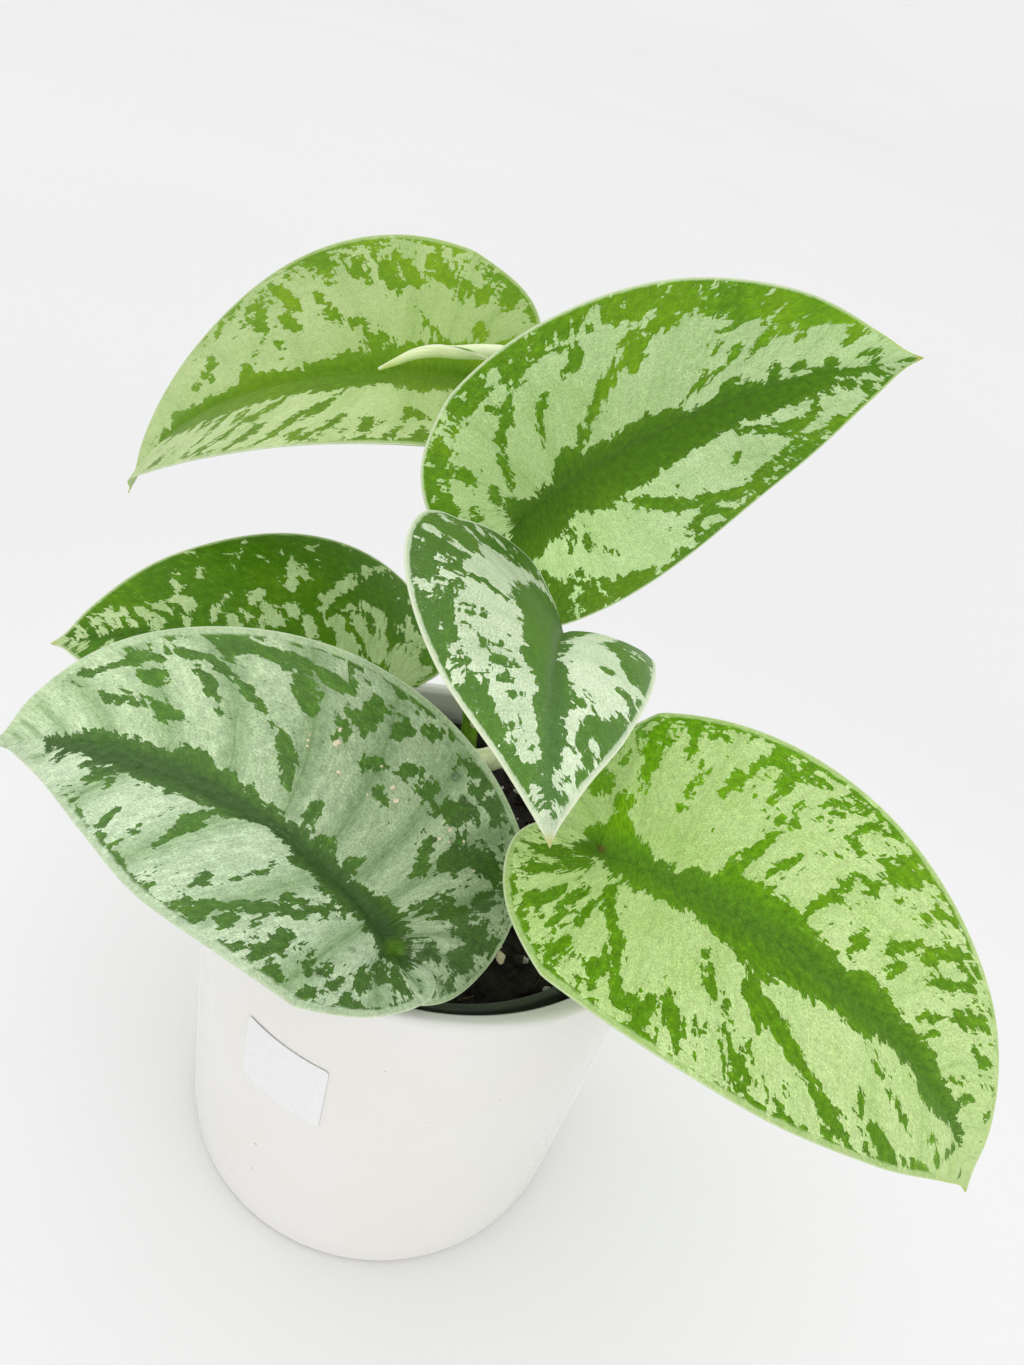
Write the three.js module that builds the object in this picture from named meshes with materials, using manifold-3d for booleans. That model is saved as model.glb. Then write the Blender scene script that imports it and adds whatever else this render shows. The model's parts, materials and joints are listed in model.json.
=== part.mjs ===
// Satin pothos in a glazed pot: two rooted vines with six heart-shaped leaves and one new leaf
// still rolled up, growing in a plastic nursery pot that stands loose inside a ceramic cover pot.
// Millimetres, +Z up. The origin is the centre of the cover pot's flat foot.
import * as THREE from 'three';
import { mergeVertices } from 'three/addons/utils/BufferGeometryUtils.js';
import Module from 'manifold-3d';

const wasm = await Module();
wasm.setup();

// ---- Driving dimensions -------------------------------------------------------------------

const GAP = 0.3; // clearance between pieces that touch

const POT = {
  height: 122, rimRadius: 62.5, footRadius: 60, wall: 4.5, floor: 5,
  footRound: 3.5, floorRound: 5, rimRound: 2, sides: 48,
};

const NURSERY = {
  rimHeight: 115.5, rimRadius: 53.3, baseRadius: 41, wall: 0.9, floor: 1.4,
  lipWidth: 1.2, lipDepth: 7, sides: 40, drains: 5, drainRadius: 4, drainCircle: 27,
};

const SOIL = { level: 109.5, bump: 0.9, rings: 6, sides: 32 };

const STICKER = { side: 25, thickness: 0.4, bottom: 67.7, angle: -22.4, steps: 8 };

// A blade's half outline from base to tip. Each row gives how far along the midrib the margin
// point lies (of the length), how far out it lies (of the half width), and where the side vein
// that ends there leaves the midrib (of the length).
const OUTLINE = [
  [-0.085, 0.13, 0], [-0.17, 0.42, 0], [-0.11, 0.8, 0.03], [0.12, 1, 0.1], [0.4, 0.93, 0.26],
  [0.68, 0.61, 0.52], [0.87, 0.235, 0.78], [0.95, 0.07, 0.91], [1, 0, 1],
];
const OUTLINE_LOBE = 0.17; // depth of the basal lobe in OUTLINE, of the length

const BLADE = { thickness: 0.8, rows: 26, columns: 4, waveHeight: 0.7, waves: 3 };

// The leaves. at: where the petiole meets the blade. heading, pitch, roll: the midrib's compass
// direction, its rise and the blade's turn about it, at the base, in degrees. Pairs are the left
// and right halves as seen from above with the tip ahead: half widths, lobe depths (of the
// length), fold up from the midrib at the base and at the tip, the downward curl from midrib to
// margin, and the lift of the basal lobe. arch, sweep, twist: how much the midrib bends down,
// bends left and turns from base to tip.
const LEAVES = {
  leaf_back_left: {
    at: [-28, 69, 216], heading: 194, pitch: -1, roll: -22, length: 125, halfWidth: [38, 44],
    lobe: [0.17, 0.17], foldBase: [12, 18], foldTip: [12, 9], curl: [-7, 8], lift: [0, -9],
    arch: 75, sweep: -3, twist: 2,
  },
  leaf_upper_right: {
    at: [-3, 36, 197], heading: 41, pitch: 38, roll: 81, length: 118, halfWidth: [41, 42],
    lobe: [0.18, 0.16], foldBase: [5, 7], foldTip: [11, 9], curl: [23, 11], lift: [15, -6],
    arch: -18, sweep: -25, twist: 1,
  },
  leaf_middle: {
    at: [13, -5, 193], heading: -97, pitch: 31, roll: 6, length: 88, halfWidth: [21, 38],
    lobe: [0.2, 0.25], foldBase: [17, 39], foldTip: [10, 12], curl: [40, 11], lift: [-12, 14],
    arch: 41, sweep: 14, twist: -1,
  },
  leaf_left: {
    at: [-25, 30, 137], heading: 203, pitch: 29, roll: -26, length: 97, halfWidth: [38, 41],
    lobe: [0.17, 0.17], foldBase: [22, 7], foldTip: [14, 12], curl: [4, 19], lift: [0, -3],
    arch: 62, sweep: 6, twist: -2,
  },
  leaf_front_left: {
    at: [-4, -64, 145], heading: 143, pitch: 20, roll: 12, length: 119, halfWidth: [33, 45],
    lobe: [0.15, 0.18], foldBase: [19, 12], foldTip: [7, 21], curl: [21, 3], lift: [45, -51],
    arch: 56, sweep: 30, twist: -53,
  },
  leaf_front_right: {
    at: [35, -26, 152], heading: -15, pitch: 8, roll: 9, length: 143, halfWidth: [48, 39],
    lobe: [0.16, 0.14], foldBase: [12, 11], foldTip: [10, 2], curl: [10, 24], lift: [-38, 40],
    arch: 73, sweep: -1, twist: 26,
  },
};

// The stalks: points along the axis, then the radius at each end. A petiole names the leaf it
// carries, and its last point is worked out from that leaf.
const TALL_VINE = [
  { path: [[4, 36, 62], [1, 42, 100], [-2, 46, 118], [-4, 50, 148], [-8, 56, 183]], radius: [3, 2.3] },
  { path: [[-4, 50, 148], [-5, 52, 170], [-4, 46, 189]], leaf: 'leaf_upper_right', radius: [2.3, 1.6] },
  { path: [[-5.5, 53, 163], [-15, 62, 184], [-24, 68, 203]], leaf: 'leaf_back_left', radius: [2.2, 1.6] },
  { path: [[-2.5, 47, 123], [2, 37, 145], [9, 16, 163]], leaf: 'leaf_middle', radius: [2.4, 1.6] },
];
const LOW_VINE = [
  { path: [[-26, 14, 80], [-20, 22, 102], [-9, 29, 114], [4, 33.5, 118], [14, 37, 122]], radius: [3.2, 3] },
  { path: [[-19, 23, 104], [-23, 29, 118]], leaf: 'leaf_left', radius: [2.4, 1.6] },
  { path: [[-12, 27, 112], [-11, 5, 121], [-6, -30, 132]], leaf: 'leaf_front_left', radius: [2.6, 1.7] },
  { path: [[13, 37, 121], [24, 31, 136], [32, 5, 147]], leaf: 'leaf_front_right', radius: [2.6, 1.7] },
];
const STALK = { sides: 10, stepsPerSpan: 4, domeSteps: 2, bladeRelief: 0.1 };

// The new leaf, rolled into a pointed spike that grows from the top of the tall vine.
const SPIKE = {
  path: [[-8.6, 57.2, 187.6], [-9, 62, 203], [-13, 68, 218], [-23, 68, 225.5], [-36, 62, 222], [-49, 57, 216]],
  radius: [1.5, 2.1, 0.4], widest: 0.6, sides: 10, steps: 20,
};

// ---- Helpers ------------------------------------------------------------------------------

const vec = (p) => new THREE.Vector3(...p);
const rad = THREE.MathUtils.degToRad;
const lerp = THREE.MathUtils.lerp;

/** A geometry with shared vertices from three-number points and index triples. */
function geometryOf(points, triangles) {
  const geometry = new THREE.BufferGeometry();
  geometry.setAttribute('position', new THREE.Float32BufferAttribute(points.flatMap((p) => p.toArray()), 3));
  geometry.setIndex(triangles.flat());
  geometry.computeVertexNormals();
  return geometry;
}

/** The Manifold solid of a closed geometry. */
function solidOf(geometry) {
  const bare = geometry.clone();
  bare.deleteAttribute('normal');
  bare.deleteAttribute('uv');
  const merged = mergeVertices(bare, 1e-4);
  return new wasm.Manifold(new wasm.Mesh({
    numProp: 3,
    vertProperties: new Float32Array(merged.attributes.position.array),
    triVerts: new Uint32Array(merged.index.array),
  }));
}

/** The three.js geometry of a Manifold solid. */
function geometryOfSolid(solid) {
  const mesh = solid.getMesh();
  const geometry = new THREE.BufferGeometry();
  geometry.setAttribute('position', new THREE.Float32BufferAttribute(mesh.vertProperties, 3));
  geometry.setIndex(Array.from(mesh.triVerts));
  geometry.computeVertexNormals();
  return geometry;
}

/** Turns a profile of [radius, height] pairs about Z. */
function turned(profile, sides) {
  const points = profile.map(([r, z]) => new THREE.Vector2(r, z));
  return new THREE.LatheGeometry(points, sides).rotateX(Math.PI / 2);
}

/** Points of a rounded corner: centre, radius, and start and end angle in degrees. */
function arc(r, z, radius, from, to, steps = 3) {
  return Array.from({ length: steps + 1 }, (_, i) => {
    const a = rad(lerp(from, to, i / steps));
    return [r + radius * Math.cos(a), z + radius * Math.sin(a)];
  });
}

/** A closed solid from an open surface: its faces are set off half the thickness to each side. */
function thickened(points, triangles, thickness) {
  const normals = points.map(() => new THREE.Vector3());
  for (const [a, b, c] of triangles) {
    const face = points[b].clone().sub(points[a]).cross(points[c].clone().sub(points[a]));
    [a, b, c].forEach((i) => normals[i].add(face));
  }
  normals.forEach((n) => n.setLength(thickness / 2));
  const top = points.map((p, i) => p.clone().add(normals[i]));
  const bottom = points.map((p, i) => p.clone().sub(normals[i]));
  const under = triangles.map(([a, b, c]) => [a, c, b].map((i) => i + points.length));
  const edges = new Set(triangles.flatMap(([a, b, c]) => [`${a} ${b}`, `${b} ${c}`, `${c} ${a}`]));
  const band = [];
  for (const edge of edges) {
    const [a, b] = edge.split(' ').map(Number);
    if (edges.has(`${b} ${a}`)) continue;
    band.push([b, a, a + points.length], [b, a + points.length, b + points.length]);
  }
  return geometryOf([...top, ...bottom], [...triangles, ...under, ...band]);
}

// ---- Blades -------------------------------------------------------------------------------

const outline = new THREE.CatmullRomCurve3(OUTLINE.map(vec), false, 'catmullrom', 0.5);

/** Where a half's flat point lies: t from base to tip along the margin, s from midrib to margin. */
function flatPoint(leaf, side, t, s) {
  const width = leaf.halfWidth[side];
  const p = outline.getPoint(t);
  const lobeScale = p.x < 0 ? leaf.lobe[side] / OUTLINE_LOBE : 1;
  const edge = { x: p.x * lobeScale * leaf.length, y: Math.max(p.y, 0) * width };
  const root = Math.max(p.z, 0) * leaf.length;
  const bend = { x: root + 0.3 * (edge.x - root), y: 0.55 * edge.y };
  return {
    x: (1 - s) ** 2 * root + 2 * s * (1 - s) * bend.x + s * s * edge.x,
    y: 2 * s * (1 - s) * bend.y + s * s * edge.y,
  };
}

const sineSum = (k, u) => (Math.abs(k) < 1e-6 ? u : Math.sin(k * u) / k);
const versineSum = (k, u) => (Math.abs(k) < 1e-6 ? 0 : (1 - Math.cos(k * u)) / k);

/** The midrib at a fraction u of its length: place, direction, left and upward directions. */
function midrib(leaf, u) {
  const arch = rad(leaf.arch);
  const sweep = rad(leaf.sweep);
  const a = -arch * u;
  const b = sweep * u;
  const place = new THREE.Vector3(
    (sineSum(arch - sweep, u) + sineSum(arch + sweep, u)) / 2,
    (versineSum(arch + sweep, u) + versineSum(sweep - arch, u)) / 2,
    -versineSum(arch, u),
  ).multiplyScalar(leaf.length);
  const along = new THREE.Vector3(Math.cos(a) * Math.cos(b), Math.cos(a) * Math.sin(b), Math.sin(a));
  const left = new THREE.Vector3(-Math.sin(b), Math.cos(b), 0);
  const up = along.clone().cross(left);
  const turn = rad(leaf.twist * u);
  left.applyAxisAngle(along, turn);
  up.applyAxisAngle(along, turn);
  return { place, along, left, up };
}

/** The blade's middle surface in its own axes: X along the midrib, Y left, Z up. */
function bladePoint(leaf, side, t, s) {
  const flat = flatPoint(leaf, side, t, s);
  const u = THREE.MathUtils.clamp(flat.x / leaf.length, 0, 1);
  const rib = midrib(leaf, u);
  const back = Math.min(flat.x, 0);
  const lift = rad(leaf.lift[side]);
  const width = leaf.halfWidth[side];
  const fold = rad(lerp(leaf.foldBase[side], leaf.foldTip[side], u));
  const curl = rad(leaf.curl[side]);
  const turned = fold - (curl * flat.y) / width;
  const wave = BLADE.waveHeight * s * s * Math.sin(2 * Math.PI * BLADE.waves * t) * Math.sin(Math.PI * t);
  const out = (width / curl) * (Math.sin(fold) - Math.sin(turned));
  const high = (width / curl) * (Math.cos(turned) - Math.cos(fold)) - back * Math.sin(lift) + wave;
  return rib.place
    .addScaledVector(rib.along, back * Math.cos(lift))
    .addScaledVector(rib.left, side === 0 ? out : -out)
    .addScaledVector(rib.up, high);
}

/** A blade: side veins fan out from the midrib to the margin, and the basal lobes' from the base. */
function bladeGeometry(leaf) {
  const points = [];
  const numbers = new Map();
  const vertex = (side, row, column) => {
    const t = row / BLADE.rows;
    const onBase = column === 0 && flatPoint(leaf, side, t, 0).x === 0;
    const key = row === BLADE.rows ? 'tip' : onBase ? 'base' : column === 0 ? `rib ${row}` : `${side} ${row} ${column}`;
    if (!numbers.has(key)) {
      numbers.set(key, points.length);
      points.push(bladePoint(leaf, side, t, column / BLADE.columns));
    }
    return numbers.get(key);
  };
  const triangles = [];
  for (const side of [0, 1]) {
    for (let row = 0; row < BLADE.rows; row++) {
      for (let column = 0; column < BLADE.columns; column++) {
        const a = vertex(side, row, column);
        const b = vertex(side, row + 1, column);
        const c = vertex(side, row + 1, column + 1);
        const d = vertex(side, row, column + 1);
        for (const face of [[a, b, c], [a, c, d]]) {
          if (new Set(face).size === 3) triangles.push(side === 0 ? face : face.reverse());
        }
      }
    }
  }
  return thickened(points, triangles, BLADE.thickness);
}

/** The blade's turn into the plant's axes. */
function bladeEuler(leaf) {
  return new THREE.Euler(rad(leaf.roll), rad(-leaf.pitch), rad(leaf.heading), 'ZYX');
}

// ---- Stalks -------------------------------------------------------------------------------

/** A round closed stalk along a smooth path, with domed ends. radiusAt takes 0 to 1. */
function stalkGeometry(path, radiusAt, steps, sides) {
  const curve = new THREE.CatmullRomCurve3(path);
  const length = curve.getLength();
  const dome = (end, from, to) => arc(0, end, radiusAt(end > 0 ? 1 : 0), from, to, STALK.domeSteps);
  const body = Array.from({ length: steps - 1 }, (_, i) => [radiusAt((i + 1) / steps), ((i + 1) / steps) * length]);
  const profile = [...dome(0, -90, 0), ...body, ...dome(length, 0, 90)];
  profile[0][0] = 0;
  profile[profile.length - 1][0] = 0;
  const geometry = turned(profile, sides);
  const position = geometry.attributes.position;
  const frames = curve.computeFrenetFrames(200);
  for (let i = 0; i < position.count; i++) {
    const along = position.getZ(i);
    const u = THREE.MathUtils.clamp(along / length, 0, 1);
    const f = u * 200;
    const k = Math.min(Math.floor(f), 199);
    const blend = (list) => list[k].clone().lerp(list[k + 1], f - k).normalize();
    const point = curve.getPointAt(u)
      .addScaledVector(blend(frames.tangents), along - u * length)
      .addScaledVector(blend(frames.normals), position.getX(i))
      .addScaledVector(blend(frames.binormals), position.getY(i));
    position.setXYZ(i, point.x, point.y, point.z);
  }
  return geometry;
}

/** The path of a stalk, with a petiole's end set just under its blade. */
function stalkPath({ path, leaf, radius }) {
  if (!leaf) return path.map(vec);
  const { at } = LEAVES[leaf];
  const down = new THREE.Vector3(0, 0, -1).applyEuler(bladeEuler(LEAVES[leaf]));
  const reach = BLADE.thickness / 2 + GAP + STALK.bladeRelief + radius[1];
  return [...path.map(vec), vec(at).addScaledVector(down, reach)];
}

/** A vine: its stem and petioles grown together, made larger all round by grow. */
function vineSolid(stalks, grow = 0) {
  return stalks.map((stalk) => {
    const path = stalkPath(stalk);
    const radiusAt = (u) => lerp(stalk.radius[0], stalk.radius[1], u) + grow;
    return solidOf(stalkGeometry(path, radiusAt, STALK.stepsPerSpan * (path.length - 1), STALK.sides));
  }).reduce((vine, stalk) => vine.add(stalk));
}

/** The rolled leaf's radius: it swells from its foot and then runs out to a point. */
function spikeRadius(u) {
  const [foot, middle, tip] = SPIKE.radius;
  if (u < SPIKE.widest) return lerp(foot, middle, Math.sin((u / SPIKE.widest) * Math.PI / 2));
  return lerp(middle, tip, ((u - SPIKE.widest) / (1 - SPIKE.widest)) ** 1.6);
}

// ---- Pots, soil and sticker ---------------------------------------------------------------

const potRadiusAt = (z) => lerp(POT.footRadius, POT.rimRadius, z / POT.height);

/** The cover pot: a straight cup, a little wider at its rounded rim. */
function coverPotGeometry() {
  const { height, wall, floor, footRound, floorRound, rimRound } = POT;
  const inside = (z) => potRadiusAt(z) - wall;
  return turned([
    [0, 0],
    ...arc(potRadiusAt(footRound) - footRound, footRound, footRound, -90, 0),
    ...arc(potRadiusAt(height) - rimRound, height - rimRound, rimRound, 0, 90),
    ...arc(inside(height) + rimRound, height - rimRound, rimRound, 90, 180),
    ...arc(inside(floor + floorRound) - floorRound, floor + floorRound, floorRound, 0, -90),
    [0, floor],
  ], POT.sides);
}

const nurseryBase = POT.floor + GAP;
const nurseryRadiusAt = (z) => {
  const shoulder = NURSERY.rimRadius - NURSERY.lipWidth;
  return lerp(NURSERY.baseRadius, shoulder, (z - nurseryBase) / (NURSERY.rimHeight - nurseryBase));
};

/** The nursery pot: a thin tapered cup with a turned-out lip and drain holes in its floor. */
function nurseryPotGeometry() {
  const { rimHeight, rimRadius, wall, floor, lipDepth } = NURSERY;
  const lipBottom = rimHeight - lipDepth;
  const inner = (z) => nurseryRadiusAt(z) - wall;
  const shell = solidOf(turned([
    [0, nurseryBase],
    [nurseryRadiusAt(nurseryBase), nurseryBase],
    [nurseryRadiusAt(lipBottom), lipBottom],
    [rimRadius, lipBottom],
    ...arc(rimRadius - 0.8, rimHeight - 0.8, 0.8, 0, 90, 2),
    ...arc(inner(rimHeight) + 0.8, rimHeight - 0.8, 0.8, 90, 180, 2),
    [inner(nurseryBase + floor), nurseryBase + floor],
    [0, nurseryBase + floor],
  ], NURSERY.sides));
  const drains = Array.from({ length: NURSERY.drains }, (_, i) => {
    const turn = (2 * Math.PI * i) / NURSERY.drains;
    const hole = new THREE.CylinderGeometry(NURSERY.drainRadius, NURSERY.drainRadius, 3 * floor, 12);
    hole.rotateX(Math.PI / 2);
    hole.translate(NURSERY.drainCircle * Math.cos(turn), NURSERY.drainCircle * Math.sin(turn), nurseryBase);
    return solidOf(hole);
  });
  return geometryOfSolid(drains.reduce((pot, drain) => pot.subtract(drain), shell));
}

/** Soil filling the nursery pot, with a gently uneven top and a hole for each vine. */
function soilGeometry(vines) {
  const bottom = nurseryBase + NURSERY.floor + GAP;
  const radiusAt = (z) => nurseryRadiusAt(z) - NURSERY.wall - GAP;
  const profile = [[0, bottom], [radiusAt(bottom), bottom], [radiusAt(SOIL.level), SOIL.level]];
  for (let ring = SOIL.rings - 1; ring >= 0; ring--) {
    profile.push([(radiusAt(SOIL.level) * ring) / SOIL.rings, SOIL.level]);
  }
  const geometry = turned(profile, SOIL.sides);
  const position = geometry.attributes.position;
  for (let i = 0; i < position.count; i++) {
    const [x, y, z] = [position.getX(i), position.getY(i), position.getZ(i)];
    const edge = 1 - (Math.hypot(x, y) / radiusAt(SOIL.level)) ** 4;
    const uneven = Math.sin(0.19 * x + 0.4) * Math.cos(0.16 * y) + 0.6 * Math.sin(0.31 * y - 0.23 * x);
    if (z > SOIL.level - 1) position.setZ(i, z + SOIL.bump * uneven * Math.max(edge, 0));
  }
  return geometryOfSolid(vines.reduce((soil, vine) => soil.subtract(vine), solidOf(geometry)));
}

/** A square paper sticker wrapped on the cover pot's wall. */
function stickerGeometry() {
  const { side, thickness, bottom, angle, steps } = STICKER;
  const points = [];
  for (let i = 0; i <= steps; i++) {
    for (const z of [bottom, bottom + side]) {
      const radius = potRadiusAt(z) + GAP + thickness / 2;
      const turn = rad(angle - 90) + ((i / steps - 0.5) * side) / radius;
      points.push(new THREE.Vector3(radius * Math.cos(turn), radius * Math.sin(turn), z));
    }
  }
  const triangles = [];
  for (let i = 0; i < steps; i++) {
    const a = 2 * i;
    triangles.push([a, a + 2, a + 3], [a, a + 3, a + 1]);
  }
  return thickened(points, triangles, thickness);
}

// ---- The scene graph ----------------------------------------------------------------------

const finish = (color, roughness) => new THREE.MeshStandardMaterial({ color, roughness, metalness: 0 });
const MATERIALS = {
  glaze: finish(0xeeece7, 0.22),
  plastic: finish(0x3c4338, 0.55),
  soil: finish(0x1d1813, 0.95),
  paper: finish(0xf7f7f5, 0.7),
  stalk: finish(0x7fae5a, 0.5),
  blade: finish(0x7ba45f, 0.5),
  newLeaf: finish(0xb9d79a, 0.45),
};

const group = new THREE.Group();

function addMesh(name, geometry, material) {
  const mesh = new THREE.Mesh(geometry, material);
  mesh.name = name;
  group.add(mesh);
  return mesh;
}

addMesh('cover_pot', coverPotGeometry(), MATERIALS.glaze);
addMesh('sticker', stickerGeometry(), MATERIALS.paper);
addMesh('nursery_pot', nurseryPotGeometry(), MATERIALS.plastic);
addMesh('soil', soilGeometry([vineSolid(TALL_VINE, GAP), vineSolid(LOW_VINE, GAP)]), MATERIALS.soil);
addMesh('tall_vine', geometryOfSolid(vineSolid(TALL_VINE)), MATERIALS.stalk);
addMesh('low_vine', geometryOfSolid(vineSolid(LOW_VINE)), MATERIALS.stalk);
addMesh('rolled_leaf', stalkGeometry(SPIKE.path.map(vec), spikeRadius, SPIKE.steps, SPIKE.sides), MATERIALS.newLeaf);
for (const [name, leaf] of Object.entries(LEAVES)) {
  const blade = addMesh(name, bladeGeometry(leaf), MATERIALS.blade);
  blade.position.copy(vec(leaf.at));
  blade.rotation.copy(bladeEuler(leaf));
}

export default group;
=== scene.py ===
"""Satin pothos in a glazed cover pot: the finished plant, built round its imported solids."""

import json
import math
import random

import bpy
import numpy as np
from mathutils import Matrix, Vector, noise

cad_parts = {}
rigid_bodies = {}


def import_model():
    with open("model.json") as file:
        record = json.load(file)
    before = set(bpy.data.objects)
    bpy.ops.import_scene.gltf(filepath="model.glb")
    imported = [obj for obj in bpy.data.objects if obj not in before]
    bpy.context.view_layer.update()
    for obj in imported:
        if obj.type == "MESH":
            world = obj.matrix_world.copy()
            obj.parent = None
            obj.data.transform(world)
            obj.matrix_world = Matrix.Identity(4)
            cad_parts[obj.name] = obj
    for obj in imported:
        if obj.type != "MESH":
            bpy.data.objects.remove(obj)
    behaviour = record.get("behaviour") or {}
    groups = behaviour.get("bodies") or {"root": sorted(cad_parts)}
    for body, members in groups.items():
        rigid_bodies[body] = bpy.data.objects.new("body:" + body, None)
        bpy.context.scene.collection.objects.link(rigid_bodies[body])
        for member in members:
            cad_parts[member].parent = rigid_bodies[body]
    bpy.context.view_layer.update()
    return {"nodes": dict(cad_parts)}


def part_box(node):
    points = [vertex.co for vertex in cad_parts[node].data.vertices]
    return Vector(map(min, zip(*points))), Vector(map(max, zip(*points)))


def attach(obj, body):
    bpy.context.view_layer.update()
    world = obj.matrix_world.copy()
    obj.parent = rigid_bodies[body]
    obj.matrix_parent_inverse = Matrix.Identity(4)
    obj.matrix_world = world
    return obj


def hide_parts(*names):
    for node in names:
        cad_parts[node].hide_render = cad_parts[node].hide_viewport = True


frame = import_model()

bl_info = {
    "name": "Potted satin pothos",
    "version": (1, 0, 0),
    "blender": (4, 5, 0),
    "location": "View3D > Sidebar > Pothos",
    "description": "Builds a satin pothos with silver-splashed leaves in its cover pot",
    "category": "Add Mesh",
}

MM = 0.001
POT_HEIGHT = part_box("cover_pot")[1].z
SOIL_TOP = 0.1095
SOIL_RADIUS = 0.0509
SEED = 7
LABEL_TURN = -22.4  # degrees round the pot from its front
YOUNG_MARGIN = (45.0, 15.0, 0, 0.85)  # mm from a light blade's tip, none to full, and how strongly

# A blade's half outline from base to tip: along the midrib, out from it, and where the side
# vein that ends there leaves the midrib. Shares of the length and of the half width.
OUTLINE = (
    (-0.085, 0.13, 0.0), (-0.17, 0.42, 0.0), (-0.11, 0.8, 0.03), (0.12, 1.0, 0.1), (0.4, 0.93, 0.26),
    (0.68, 0.61, 0.52), (0.87, 0.235, 0.78), (0.95, 0.07, 0.91), (1.0, 0.0, 1.0),
)
OUTLINE_LOBE = 0.17
LEFT, RIGHT = 0, 1

# The camera, in metres and unit directions.
CAMERA_PLACE = (0, -0.199, 0.315)
CAMERA_RIGHT, CAMERA_UP = Vector((0.9633, 0.1392, 0.2296)), Vector((-0.2676, 0.5656, 0.78))
CAMERA_AHEAD = Vector((0.0213, 0.8128, -0.5821))

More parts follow.
